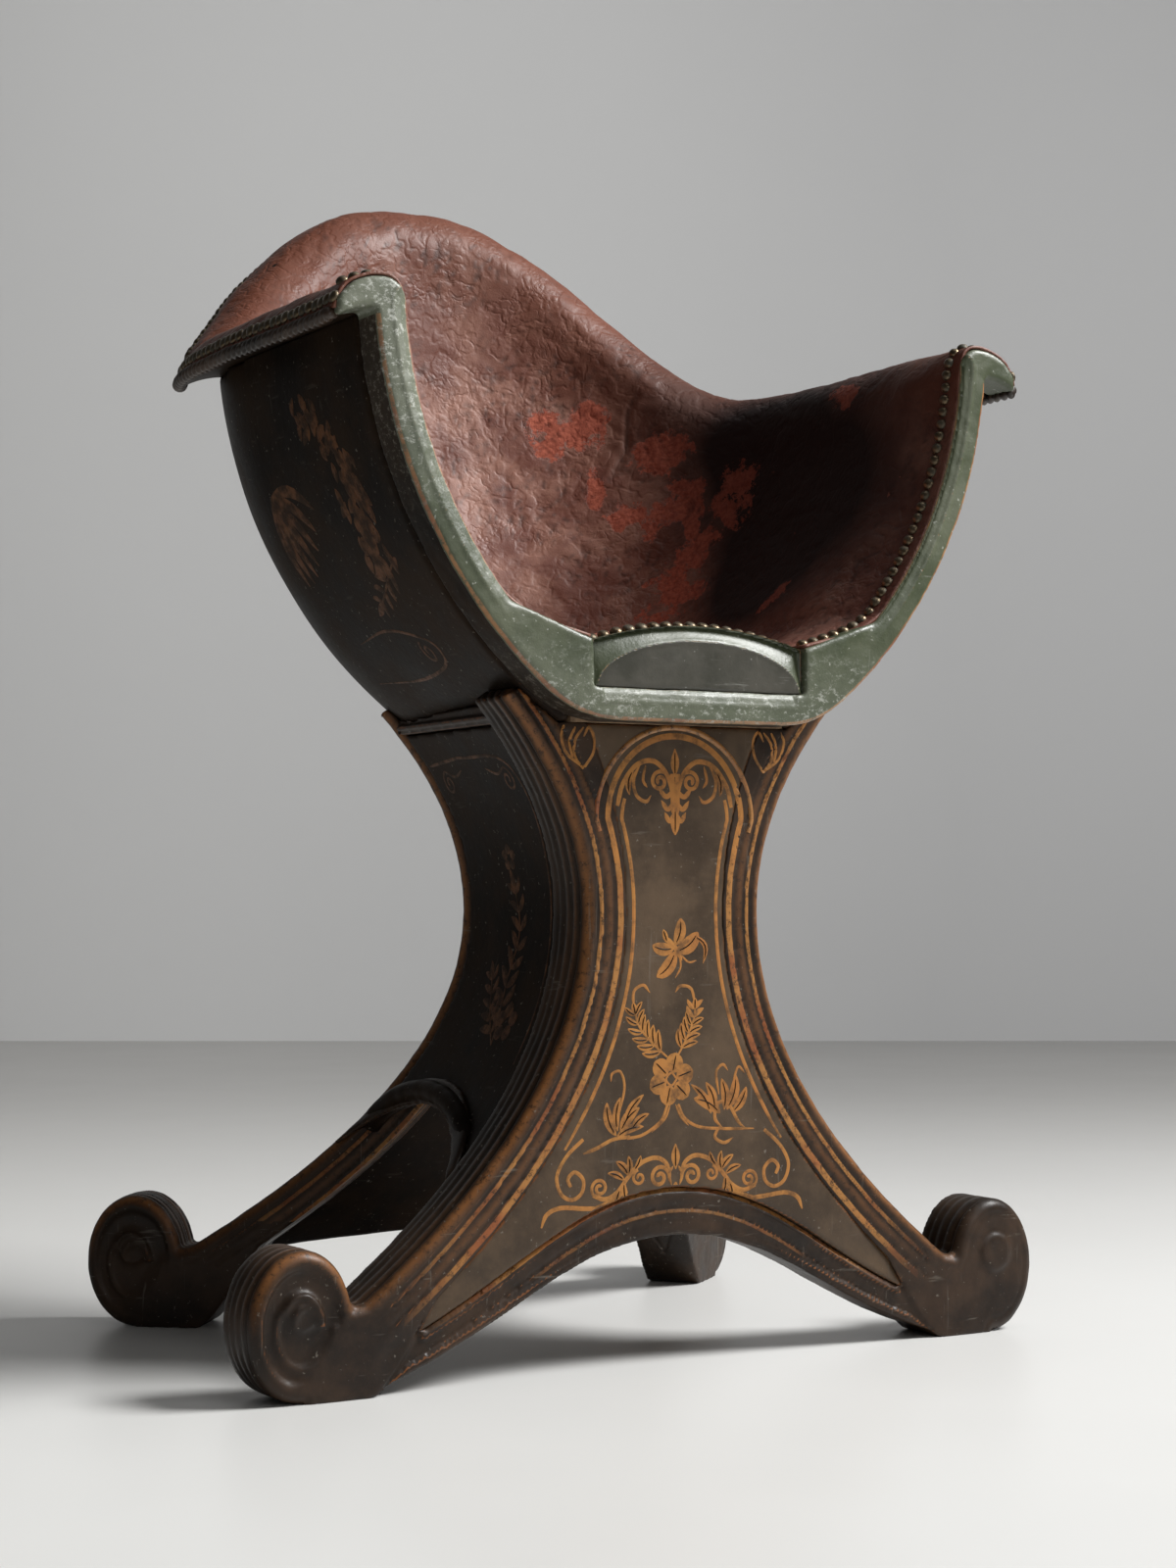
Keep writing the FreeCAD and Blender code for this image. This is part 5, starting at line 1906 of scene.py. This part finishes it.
class Brush:
    """Collects strokes as thin raised ribbons and makes them one piece; paths are in millimetres."""

    edge_lift = 0.4
    vein_width = 3.5

    def __init__(self, canvas: Canvas, lift: float = 0.16 * MM) -> None:
        """Start with no strokes on a canvas; the lift is a ribbon's height."""
        self.canvas = canvas
        self.lift = lift
        self.points: list[Vector] = []
        self.faces: list[tuple[int, ...]] = []
        self.veins: list[np.ndarray] = []

    def _lay(self, path: np.ndarray, widths: np.ndarray) -> None:
        """Lay a closed three-sided ribbon.

        Args:
            path: Points of its middle.
            widths: Width at each point.
        """
        path = np.asarray(path, float) * MM
        direction = unit(np.gradient(path, axis=0))
        halves = pairs(-direction[:, 1], direction[:, 0]) * (widths * MM / 2)[:, None]
        sections = []
        for place, half in zip(path, halves):
            spots = [self.canvas.spot(*point) for point in (place - half, place, place + half)]
            if None not in spots:
                sections.append(spots)
        if len(sections) < 2:
            return
        base = len(self.points)
        for spots in sections:
            for (place, normal), share in zip(spots, (self.edge_lift, 1.0, self.edge_lift)):
                self.points.append(place + normal * self.lift * share)
        self.faces += [tuple(index + base for index in face) for face in tube_faces(len(sections), 3)]

    def stroke(self, path: np.ndarray, width: float, taper: Point2 = (0.35, 0.2), both: bool = False) -> None:
        """Lay one stroke, and its mirror image if asked.

        Args:
            path: Points of the stroke.
            width: Widest width.
            taper: Share of the width at the start and at the end.
            both: Whether to lay the mirror image too.
        """
        part = np.linspace(0.0, 1.0, len(path))
        swell = np.minimum(1.0, np.minimum(taper[0] + part * 4.0, taper[1] + (1.0 - part) * 4.0))
        for sense in ((1.0, 1.0), MIRROR)[:1 + both]:
            self._lay(path * np.array(sense), width * swell)

    def curve(self, points: Sequence[Point2], width: float, taper: Point2 = (0.35, 0.2),
              both: bool = False) -> None:
        """Lay a smooth stroke through points, and its mirror image if asked."""
        self.stroke(smooth_line(points, 8), width, taper, both)

    def volute(self, centre: Point2, radius: float, start: float, turns: float, width: float,
               both: bool = False) -> None:
        """Lay a spiral that winds in.

        Args:
            centre: Middle of the spiral.
            radius: Radius at its start.
            start: Angle of its start in degrees.
            turns: Number of turns, clockwise where negative.
            width: Widest width.
            both: Whether to lay the mirror image too.
        """
        part = np.linspace(0.0, 1.0, max(12, int(abs(turns) * 22)))
        angle = math.radians(start) + part * turns * 2 * math.pi
        size = radius * (1.0 - 0.82 * part)
        path = pairs(centre[0] + size * np.cos(angle), centre[1] + size * np.sin(angle))
        self.stroke(path, width, (0.8, 0.9), both)

    def leaf(self, base: Point2, tip: Point2, width: float, bend: float = 0.0, both: bool = False,
             blunt: float = 0.8) -> None:
        """Lay a leaf that swells in its middle, and keep the vein of a wide one for a second coat.

        Args:
            base: Where the leaf starts.
            tip: Where it ends.
            width: Widest width.
            bend: How far it bends sideways, as a share of its length.
            both: Whether to lay the mirror image too.
            blunt: Low values make it rounder.
        """
        base, ahead = np.asarray(base, float), np.asarray(tip, float) - np.asarray(base, float)
        part = np.linspace(0.0, 1.0, 9)[:, None]
        path = base + ahead * part + np.array((-ahead[1], ahead[0])) * bend * np.sin(part * math.pi)
        swell = 0.12 + 0.88 * np.sin(np.linspace(0.0, math.pi, len(path))) ** blunt
        for sense in ((1.0, 1.0), MIRROR)[:1 + both]:
            if width > self.vein_width:
                self.veins.append((path * np.array(sense))[1:-1])
            self._lay(path * np.array(sense), width * swell)

    def leaves(self, drawn: Sequence[tuple[Point2, Point2, float]], bend: float, both: bool = False) -> None:
        """Lay several leaves, each given by its base, tip and width."""
        for base, tip, width in drawn:
            self.leaf(base, tip, width, bend, both)

    def spray(self, stem: Sequence[Point2], leaves: int, size: float, width: float) -> None:
        """Lay a stem with pairs of leaves along it.

        Args:
            stem: Points of the stem.
            leaves: Number of pairs.
            size: Length of the lowest leaves.
            width: Width of the stem.
        """
        path = smooth_line(stem, 8)
        self.stroke(path, width, (0.8, 0.4))
        spots = resample(path, leaves + 2)
        for step in range(1, leaves + 1):
            ahead = unit(spots[step + 1] - spots[step])
            reach = size * (1.0 - 0.35 * step / leaves)
            for turn in (0.75, -0.75):
                side = np.array((ahead[0] * math.cos(turn) - ahead[1] * math.sin(turn),
                                 ahead[0] * math.sin(turn) + ahead[1] * math.cos(turn)))
                self.leaf(spots[step], spots[step] + side * reach, reach * 0.36, 0.08)
        self.leaf(spots[-2], spots[-1] + (spots[-1] - spots[-2]) * 0.4, size * 0.3)

    def flower(self, centre: Point2, petals: int, radius: float) -> None:
        """Lay round petals about an open centre.

        Args:
            centre: Middle of the flower.
            petals: Number of petals.
            radius: Reach of the petals.
        """
        for petal in range(petals):
            turn = 2 * math.pi * petal / petals + 0.3
            ahead = radius * np.array((math.cos(turn), math.sin(turn)))
            self.leaf(centre + ahead * 0.24, centre + ahead, radius * 0.76, blunt=0.55)

    def piece(self, name: str, material: Material) -> None:
        """Make all strokes one flat-shaded piece of the chair.

        Args:
            name: Name of the piece.
            material: Its finish.
        """
        mesh = mesh_from(name, self.points, self.faces)
        turned = bmesh.new()
        turned.from_mesh(mesh)
        bmesh.ops.recalc_face_normals(turned, faces=turned.faces)
        turned.to_mesh(mesh)
        turned.free()
        made = new_piece(name, mesh, material)
        mesh.shade_flat()
        settle(made, Body.CHAIR)


@dataclass
class Ornament:
    """Ochre brushwork on the panels and the shell."""

    pedestal: Pedestal
    finishes: Finishes
    beads: BeadTree
    arch_spring: float = 346 * MM
    stand_off: Point2 = (0.1, 0.4)
    bead_radius: float = 2.2 * MM
    vein_lift: float = 0.45 * MM

    def build(self) -> None:
        """Paint the front panel, the side panels and the shell."""
        self._front()
        for paint in (self._side, self._wall):
            for side, label in SIDES:
                paint(side, label)

    def _border(self, distance: float, top: float, low: float) -> np.ndarray:
        """Right half of a border: up inside the leg, then over in an arch.

        Args:
            distance: Distance from the leg's outer edge.
            top: Height of the arch.
            low: Height of the border's foot.

        Returns:
            Points of the border in metres.
        """
        heights = np.linspace(low, self.arch_spring, 60)
        side = pairs(self.pedestal.inset(heights, distance), heights)
        turns = np.linspace(0.0, math.pi / 2, 30)[1:]
        arch = pairs(side[-1, 0] * np.cos(turns), self.arch_spring + (top - self.arch_spring) * np.sin(turns))
        return np.vstack([side, arch])

    @staticmethod
    def _whole(half: np.ndarray) -> np.ndarray:
        """Border from one foot over the arch to the other."""
        return np.vstack([half, half[-2::-1] * MIRROR])

    def _front(self) -> None:
        """Borders and ornament of the front panel."""
        front_y = self.pedestal.front_y

        def lay(along: float, up: float) -> tuple[Vector, Vector]:
            """Ray from in front of the panel."""
            return Vector((along, front_y - self.stand_off[0], up)), Vector((0.0, 1.0, 0.0))

        brush = Brush(Canvas(("front_panel_board", "front_legs_carved"), lay))
        brush.stroke(self._whole(self._border(25.4 * MM, 399 * MM, 318 * MM)) / MM, 4.0, (1.0, 1.0))
        edging = self._border(35.2 * MM, 386 * MM, 140 * MM)
        upright = edging[:, 1] < self.arch_spring + 14 * MM
        brush.stroke(edging[upright] / MM, 2.6, (0.6, 0.9), both=True)
        self._tulips(brush)
        brush.piece("front_panel_border", self.finishes.brush)
        brush = Brush(Canvas(("front_panel_board",), lay))
        for draw in (self._palmette, self._insect, self._bouquet, self._arabesque):
            draw(brush)
        brush.piece("front_panel_ornament", self.finishes.brush)
        veins = Brush(brush.canvas, self.vein_lift)
        for path in brush.veins:
            veins.stroke(path, 0.9, (0.6, 0.3))
        veins.piece("front_panel_veins", self.finishes.shell)
        bead = self._whole(self._border(17.6 * MM, 404.5 * MM, 338 * MM))
        line = pairs(bead[:, 0], np.full(len(bead), front_y + 1.6 * MM), bead[:, 1])
        piece = self.beads.piece("arch_bead", resample(line, 160), self.bead_radius, self.finishes.bead)
        settle(piece, Body.CHAIR)

    @staticmethod
    def _palmette(brush: Brush) -> None:
        """Lyre scrolls with a leafy drop under the arch."""
        brush.leaf((0, 373), (0, 391), 6.5, blunt=1.3)
        brush.curve([(1.6, 350), (1.7, 364), (2.2, 375)], 3.6, (0.6, 0.8), both=True)
        brush.curve([(43, 354), (39, 368), (29, 380), (17, 383), (8, 377), (3, 367), (2, 358)],
                    3.2, (0.8, 0.5), both=True)
        brush.volute((11.5, 370), 6.6, 120, -1.5, 2.6, both=True)
        brush.curve([(26, 381), (31, 371), (29, 361), (22, 357), (18, 361)], 2.4, both=True)
        brush.curve([(22, 380), (24, 371), (21, 366)], 2.0, both=True)
        brush.leaf((31, 377), (34, 361), 4.4, 0.15, both=True)
        for height, reach in ((364, 12.5), (356, 10.5), (348.5, 8.0)):
            drop = [(1, height), (reach * 0.55, height - 3.6), (reach, height + 2.0)]
            brush.curve(drop, 3.2, (0.7, 0.1), both=True)
        brush.leaf((0, 353), (0, 336), 7.0)

    @staticmethod
    def _insect(brush: Brush) -> None:
        """Small winged insect in the waist."""
        brush.leaf((1, 262), (17, 274), 10.5, -0.12, blunt=0.6)
        brush.leaf((13, 272), (21, 254), 3.6, 0.3)
        brush.leaf((0, 262), (-14, 246), 9.5, 0.12, blunt=0.6)
        brush.leaf((-1, 264), (-17, 266), 8.5, 0.1, blunt=0.6)
        brush.leaf((0, 266), (4, 283), 8.5, -0.1, blunt=0.6)
        brush.leaf((-6, 268), (-9, 276), 4.0)
        brush.curve([(-9, 271), (-4, 268), (2, 262), (5, 256)], 3.6)
        brush.curve([(3, 260), (4, 252), (0, 245)], 1.3)
        brush.curve([(4, 260), (10, 255), (16, 256)], 1.3)

    @staticmethod
    def _bouquet(brush: Brush) -> None:
        """Flower with two leafy sprays and two side branches."""
        brush.flower((-3, 181), 6, 17.0)
        brush.curve([(1, 181), (-3, 185), (-7, 181), (-3, 177), (1, 181)], 1.4, (1.0, 1.0))
        brush.spray([(-6, 195), (-17, 204), (-27, 215), (-31, 228)], 6, 15.0, 1.4)
        brush.curve([(-31, 226), (-31, 237), (-24, 241), (-19, 236)], 2.0)
        brush.spray([(2, 196), (8, 206), (14, 219), (15, 230)], 6, 13.5, 1.4)
        brush.curve([(15, 228), (12, 238), (4, 240), (0, 236)], 2.0)
        brush.curve([(-6, 165), (-11, 155), (-24, 147), (-36, 145)], 2.0, (0.9, 0.8))
        brush.curve([(-4, 165), (-8, 156), (-18, 148)], 1.3)
        brush.curve([(-34, 146), (-46, 145), (-58, 140), (-68, 137)], 2.4, (0.9, 0.3))
        brush.curve([(2, 165), (7, 156), (18, 150), (36, 148), (60, 147)], 2.0, (0.9, 0.4))
        brush.curve([(0, 165), (4, 157), (10, 151)], 1.3)
        brush.leaves((((-44, 147), (-51, 168), 7.0), ((-43, 150), (-41, 171), 5.5),
                      ((-41, 149), (-27, 164), 7.5), ((-38, 153), (-24, 172), 5.5),
                      ((-44, 146), (-24, 152), 5.5), ((-33, 150), (-20, 160), 5.0)), 0.1)
        brush.curve([(-42, 160), (-38, 177), (-41, 187), (-47, 186), (-48, 181)], 1.8)
        brush.curve([(36, 148), (30, 155), (32, 164), (40, 164), (48, 152), (54, 147)], 2.4)
        brush.curve([(34, 150), (30, 143), (37, 139), (44, 142)], 2.2)
        brush.leaves((((39, 160), (46, 182), 7.5), ((37, 160), (35, 180), 6.5),
                      ((34, 158), (14, 168), 9.0), ((30, 160), (23, 178), 6.0),
                      ((43, 158), (54, 174), 6.5), ((27, 158), (12, 177), 5.0)), -0.1)
        brush.curve([(33, 170), (31, 184), (36, 189), (40, 185)], 1.9)
        brush.curve([(44, 178), (48, 187), (53, 183)], 1.7)

    @staticmethod
    def _arabesque(brush: Brush) -> None:
        """Scrolling band along the panel's lower edge."""
        brush.leaf((0, 124), (0, 140), 6.5, blunt=1.2)
        brush.leaf((0, 101), (0, 116), 7.0)
        brush.leaf((1, 112), (8, 105), 4.5, 0.1, both=True)
        brush.curve([(2, 126), (5, 121), (3, 114)], 2.0, both=True)
        brush.volute((12, 119.5), 7.6, 190, -1.5, 2.6, both=True)
        brush.curve([(4.5, 120), (7, 128), (15, 132), (26, 129), (35, 121), (43, 112), (52, 108), (61, 111)],
                    2.9, (0.9, 0.9), both=True)
        brush.volute((56, 115), 6.2, -40, 1.5, 2.2, both=True)
        brush.volute((27, 120), 5.0, 80, -1.3, 2.0, both=True)
        brush.curve([(38, 112), (50, 103), (66, 103), (84, 104.5), (94, 101), (98, 93)],
                    2.9, (0.5, 0.4), both=True)
        brush.curve([(68, 146), (80, 136), (87, 124), (84, 113), (76, 109), (69, 113), (68, 121), (74, 126),
                     (79, 122), (77, 117)], 2.5, (0.9, 0.8), both=True)
        brush.leaves((((35, 122), (44, 131), 5.0), ((35, 122), (35, 134), 4.5), ((38, 118), (35, 104), 5.0),
                      ((41, 114), (43, 101), 4.5), ((38, 119), (50, 124), 4.5), ((31, 125), (26, 134), 3.6)),
                     0.1, both=True)

    @staticmethod
    def _tulips(brush: Brush) -> None:
        """Tulips beside the arch."""
        for points in ([(68, 377), (61, 387), (60, 397), (64, 403), (68, 397)],
                       [(68, 377), (74, 385), (74, 395), (68, 403)],
                       [(70, 379), (80, 386), (84, 396), (82, 404)], [(76, 384), (78, 394), (74, 403)]):
            brush.curve(points, 1.9, (0.9, 0.5), both=True)

    def _beside(self, piece: str, side: float) -> Brush:
        """Brush for a piece that is painted from its side.

        Args:
            piece: Name of the piece.
            side: 1 for the right side, -1 for the left.

        Returns:
            The brush.
        """
        def lay(along: float, up: float) -> tuple[Vector, Vector]:
            """Ray from beside the chair."""
            return Vector((side * self.stand_off[1], along, up)), Vector((-side, 0.0, 0.0))

        return Brush(Canvas((piece,), lay))

    def _side(self, side: float, label: str) -> None:
        """Faint sprigs and border lines on a side panel.

        Args:
            side: 1 for the right side, -1 for the left.
            label: Name of the side.
        """
        brush = self._beside(f"{label}_side_panel_board", side)
        brush.spray([(-92, 200), (-86, 240), (-93, 275), (-84, 310)], 8, 20.0, 1.6)
        brush.spray([(-92, 200), (-74, 222), (-62, 250)], 5, 18.0, 1.5)
        brush.flower((-100, 215), 5, 13.0)
        brush.flower((-84, 322), 5, 9.0)
        brush.curve([(-132, 190), (-134, 250), (-134, 310), (-128, 380), (-60, 388)], 2.0, (0.8, 0.8))
        brush.curve([(-60, 388), (-10, 384)], 2.0, (0.8, 0.4))
        for along, sense in ((-118, 1), (-30, -1)):
            brush.volute((along, 372), 8.0, 90, 1.4 * sense, 1.8)
            brush.curve([(along, 380), (along + 12 * sense, 376), (along + 26 * sense, 380)], 1.8)
        brush.piece(f"{label}_side_ornament", self.finishes.faint)

    def _wall(self, side: float, label: str) -> None:
        """Faint foliage and a long swirl on the outside of an arm.

        Args:
            side: 1 for the right side, -1 for the left.
            label: Name of the side.
        """
        brush = self._beside("tub_shell", side)
        draw = np.random.default_rng(SEED)
        for count, low, high in ((85, (-134, 505), (-138, 575)), (30, (-128, 575), (-98, 606))):
            for _ in range(count):
                part = draw.uniform(0.0, 1.0)
                along = low[0] + (high[0] - low[0]) * part + draw.normal(0.0, 8.0)
                up = low[1] + (high[1] - low[1]) * part + draw.normal(0.0, 6.0)
                turn = draw.uniform(-2.4, -0.6)
                reach = draw.uniform(8.0, 15.0)
                tip = (along + reach * math.cos(turn), up + reach * math.sin(turn))
                brush.leaf((along, up), tip, reach * 0.5, draw.uniform(-0.2, 0.2))
        for step in range(7):
            brush.leaf((-22, 556), (-22 - 9.0 * step, 500 + 1.2 * step * step), 8.0, 0.1 - 0.04 * step)
        brush.curve([(-39, 462), (-86, 467), (-125, 459), (-132, 450), (-120, 442), (-78, 437), (-20, 438)],
                    1.8)
        brush.volute((-118, 452), 7.0, 60, -1.3, 1.6)
        brush.spray([(-150, 505), (-120, 490), (-95, 478)], 4, 16.0, 1.5)
        brush.piece(f"{label}_shell_ornament", self.finishes.faint)


@dataclass
class SeatLid:
    """Lift-up lid: arch-topped block, board, leather pad and hinges."""

    finishes: Finishes
    nails: NailTree
    block_voxel: float = 1.4 * MM
    end_height: float = 29 * MM
    band: float = 10 * MM
    lunette_width: float = 0.97
    nail_count: int = 17
    nail_reach: float = 0.94
    nail_size: Point2 = (4.3 * MM, 2.8 * MM)
    pad_voxel: float = 4.0 * MM
    pad_cap: float = 4.0 * MM
    pad_start: Point3 = (0.97, 0.985, 0.9)
    pressure: float = 4.0
    frames: int = 20

    def build(self) -> None:
        """Shape the block, swell the pad and dress the hidden board and leaves."""
        self._block()
        self._pad()
        dress("lid_board", self.finishes.board)
        dress("hinge_lid_leaves", self.finishes.brass)

    def _block(self) -> None:
        """Front block: a lunette with a sloped band over it and nails behind the band."""
        low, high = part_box("lid_block")
        half, end_z = high.x, low.z + self.end_height

        def crown(width: np.ndarray) -> np.ndarray:
            """Height of the block's top across its width."""
            return end_z + (high.z - end_z) * (1.0 - width ** 2)

        def lunette(width: np.ndarray) -> np.ndarray:
            """Height of the lunette's edge across its width."""
            part = np.clip(1.0 - (width / self.lunette_width) ** 2, 0.0, 1.0)
            return low.z + (high.z - low.z - self.band) * np.sqrt(part)

        skin = Skin(("lid_block",), self.block_voxel)
        width = skin.points[:, 0] / half
        rise = skin.points[:, 2] - lunette(width)
        front = skin.normals[:, 1] < -0.45
        over = np.clip(rise / np.maximum(crown(width) - lunette(width), 3 * MM), 0.0, 1.0)
        skin.points[:, 1] -= np.where(front, -6.5 * MM * over + 0.6 * MM * ridge(rise, 0.0, 1.0 * MM), 0.0)
        skin.store()
        skin.carve(0.3 * MM * skin.noise(60.0))
        skin.mark(1.0)
        made = skin.piece("lid_block_painted", self.finishes.lunette, Slot.GREEN, Body.LID)
        made.data.materials.append(self.finishes.green)
        for face in made.data.polygons:
            face.material_index = int(face.center.z > lunette(face.center.x / half))
        spots = np.linspace(-self.nail_reach, self.nail_reach, self.nail_count)
        level = np.ones(self.nail_count)
        places = pairs(spots * half, level * (low.y + (high.y - low.y) * 0.62), crown(spots) + 0.6 * MM)
        facing = unit(pairs(spots * 0.25, level * -0.45, level))
        nails = self.nails.piece("lid_nails", places, facing, self.nail_size, self.finishes.nail)
        settle(nails, Body.LID)

    def _pad(self) -> None:
        """Leather pad, swollen by a short cloth run and then wrinkled."""
        mesh = remeshed(("lid_cushion",), self.pad_voxel)
        carrier = placed("lid_pad", mesh)
        start = np.array([vertex.co for vertex in mesh.vertices])
        low, high = start.min(axis=0), start.max(axis=0)
        middle = (low + high) / 2
        shrunk = middle + (start - middle) * np.array(self.pad_start)
        shrunk[:, 2] += low[2] - shrunk[:, 2].min() + 0.2 * MM
        mesh.vertices.foreach_set("co", shrunk.ravel())
        mesh.update()
        move = self._swell(carrier, shrunk) - shrunk
        length = np.maximum(np.linalg.norm(move, axis=1, keepdims=True), TINY)
        settled = shrunk + move * np.minimum(1.0, self.pad_cap / length)
        least, most = low + np.array((0.0, 0.2, 0.1)) * MM, high + np.array((0.0, 0.0, 1.5)) * MM
        settled = np.clip(settled, least, most)
        mesh.vertices.foreach_set("co", settled.ravel())
        mesh.update()
        smooth = carrier.modifiers.new("smooth", "SUBSURF")
        smooth.levels = smooth.render_levels = 1
        fine = evaluated(carrier)
        bpy.data.objects.remove(carrier)
        points = np.array([vertex.co for vertex in fine.vertices])
        normals = np.array([item.vector for item in fine.vertex_normals])
        height = 0.5 * MM * field_noise(points, 30.0) + 0.4 * MM * field_noise(points, 80.0)
        height *= smoothstep(normals[:, 2], 0.1, 0.6)
        fine.vertices.foreach_set("co", (points + normals * height[:, None]).ravel())
        mark_points(fine, "worn", np.clip(0.25 + 0.4 * field_noise(points, 25.0), 0.0, 1.0))
        for name in ("shade", "rim", "crease"):
            mark_points(fine, name, np.zeros(len(points)))
        pad = new_piece("lid_pad_leather", fine, self.finishes.leather)
        settle(pad, Body.LID, ("lid_cushion",))

    def _swell(self, carrier: Object, rest: np.ndarray) -> np.ndarray:
        """Run cloth with inner pressure for a few frames.

        Args:
            carrier: Object that holds the pad's mesh.
            rest: Points before the run.

        Returns:
            The points after the run.
        """
        cloth = carrier.modifiers.new("swell", "CLOTH")
        cloth.settings.use_pressure = True
        cloth.settings.uniform_pressure_force = self.pressure
        cloth.settings.effector_weights.gravity = 0.0
        scene = bpy.context.scene
        for step in range(1, self.frames + 1):
            scene.frame_set(step)
        mesh = evaluated(carrier)
        swollen = np.array([vertex.co for vertex in mesh.vertices])
        carrier.modifiers.remove(cloth)
        scene.frame_set(1)
        bpy.data.meshes.remove(mesh)
        return swollen if len(swollen) == len(rest) else rest


@dataclass
class HiddenBoards:
    """Unpainted boards and hinges inside the chair."""

    finishes: Finishes

    def build(self) -> None:
        """Dress the CAD nodes that keep their shape."""
        for node in ("seat_board", "top_board", "compartment_floor", "rear_ledge"):
            dress(node, self.finishes.board)
        for node in ("hinge_fixed_leaves", "hinge_pins"):
            dress(node, self.finishes.brass)


@dataclass
class Studio:
    """Pale floor and wall, soft lamps and the camera."""

    camera_place: Point3 = (-0.940, -1.662, 0.309)
    camera_turn: float = math.radians(-30.68)
    camera_pitch: float = math.radians(91.95)
    lens: float = 63.0
    wall_distance: float = 5.2
    wall_height: float = 5.0
    reach: float = 9.0
    sky: Colour = (0.84, 0.83, 0.82, 1.0)
    sky_strength: float = 0.07

    def build(self) -> None:
        """Set up the stage, the lamps and the camera."""
        self._stage()
        self._lamp("key", (2.0, -1.3, 2.6), 1.2, 195.0)
        self._lamp("top", (0.5, -0.3, 3.0), 1.6, 12.0)
        self._lamp("fill", (0.6, -3.4, 1.5), 1.6, 14.0)
        self._lamp("backdrop", (1.0, 1.5, 2.9), 2.2, 5.0, (1.71, 2.81, 1.3))
        world = bpy.data.worlds.new("studio")
        world.use_nodes = True
        background = world.node_tree.nodes["Background"]
        background.inputs["Color"].default_value = self.sky
        background.inputs["Strength"].default_value = self.sky_strength
        scene = bpy.context.scene
        scene.world = world
        scene.view_settings.view_transform = "Standard"
        data = bpy.data.cameras.new("camera")
        data.lens = self.lens
        scene.camera = placed("camera", data)
        scene.camera.location = self.camera_place
        scene.camera.rotation_euler = (self.camera_pitch, 0.0, self.camera_turn)

    @staticmethod
    def _floor(forward: Vector, side: Vector) -> Material:
        """Floor with painted shade: darker away from the camera and to the right.

        Args:
            forward: Direction away from the camera.
            side: Direction to the right.

        Returns:
            The material.
        """
        material, sheet = new_material("stage_floor")
        right = sheet.plus(sheet.step(sheet.along(side), -0.9, 0.9), sheet.times(sheet.cloud(1.3, 4.0), 0.3))
        near = sheet.mix(right, (0.79, 0.787, 0.762, 1.0), (0.645, 0.642, 0.625, 1.0))
        far = sheet.mix(right, (0.43, 0.422, 0.405, 1.0), (0.31, 0.304, 0.292, 1.0))
        sheet.paint("Base Color", sheet.mix(sheet.step(sheet.along(forward), -0.5, 2.4), near, far))
        sheet.paint("Roughness", sheet.span(sheet.cloud(3.0, 5.0), 0.28, 0.42))
        return material

    @staticmethod
    def _wall(side: Vector) -> Material:
        """Wall with painted shade: darker to the right.

        Args:
            side: Direction to the right.

        Returns:
            The material.
        """
        material, sheet = new_material("stage_wall")
        right = sheet.plus(sheet.step(sheet.along(side), -1.1, 1.15), sheet.times(sheet.cloud(0.8, 3.0), 0.2))
        sheet.paint("Base Color", sheet.mix(right, (0.66, 0.66, 0.655, 1.0), (0.435, 0.435, 0.435, 1.0)))
        sheet.paint("Roughness", 0.9)
        return material

    def _stage(self) -> None:
        """Floor and far wall."""
        forward = Vector((math.sin(-self.camera_turn), math.cos(self.camera_turn), 0.0))
        side = Vector((forward.y, -forward.x, 0.0))
        middle = Vector((self.camera_place[0], self.camera_place[1], 0.0)) + forward * self.wall_distance
        reach, rise = self.reach, Vector((0.0, 0.0, self.wall_height))
        corners = [(-reach, -reach, 0.0), (reach, -reach, 0.0), (reach, reach, 0.0), (-reach, reach, 0.0)]
        floor = mesh_from("stage_floor", corners, [(0, 1, 2, 3)])
        left, right = middle - side * reach, middle + side * reach
        wall = mesh_from("stage_wall", [left, right, right + rise, left + rise], [(3, 2, 1, 0)])
        ground = new_piece("stage_floor", floor, self._floor(forward, side))
        back = new_piece("stage_wall", wall, self._wall(side))

    @staticmethod
    def _lamp(name: str, place: Point3, size: float, power: float, aim: Point3 = (0.0, 0.0, 0.45)) -> None:
        """Soft square lamp.

        Args:
            name: Name of the lamp.
            place: Where it hangs.
            size: Its width.
            power: Its power.
            aim: Where it points, the chair's middle by default.
        """
        data = bpy.data.lights.new(name, "AREA")
        data.size = size
        data.energy = power
        lamp = placed(name, data)
        lamp.location = place
        lamp.rotation_euler = (Vector(aim) - Vector(place)).to_track_quat("-Z", "Y").to_euler()


def main() -> None:
    """Build and dress every sub-assembly of the chair in order."""
    logging.basicConfig(level=logging.INFO, format="%(name)s %(message)s")
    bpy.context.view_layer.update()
    finishes = Finishes()
    tub, pedestal = Tub(), Pedestal()
    nails, beads = NailTree(), BeadTree()
    leather = LeatherCover(tub, finishes)
    for part in (Legs(pedestal, finishes), PedestalSkins(pedestal, finishes, beads),
                 FrontFrame(tub, finishes), Shell(finishes), leather, Nailing(leather, finishes, nails),
                 SeatLid(finishes, nails), Ornament(pedestal, finishes, beads), HiddenBoards(finishes),
                 Studio()):
        part.build()


if __name__ == "__main__":
    main()
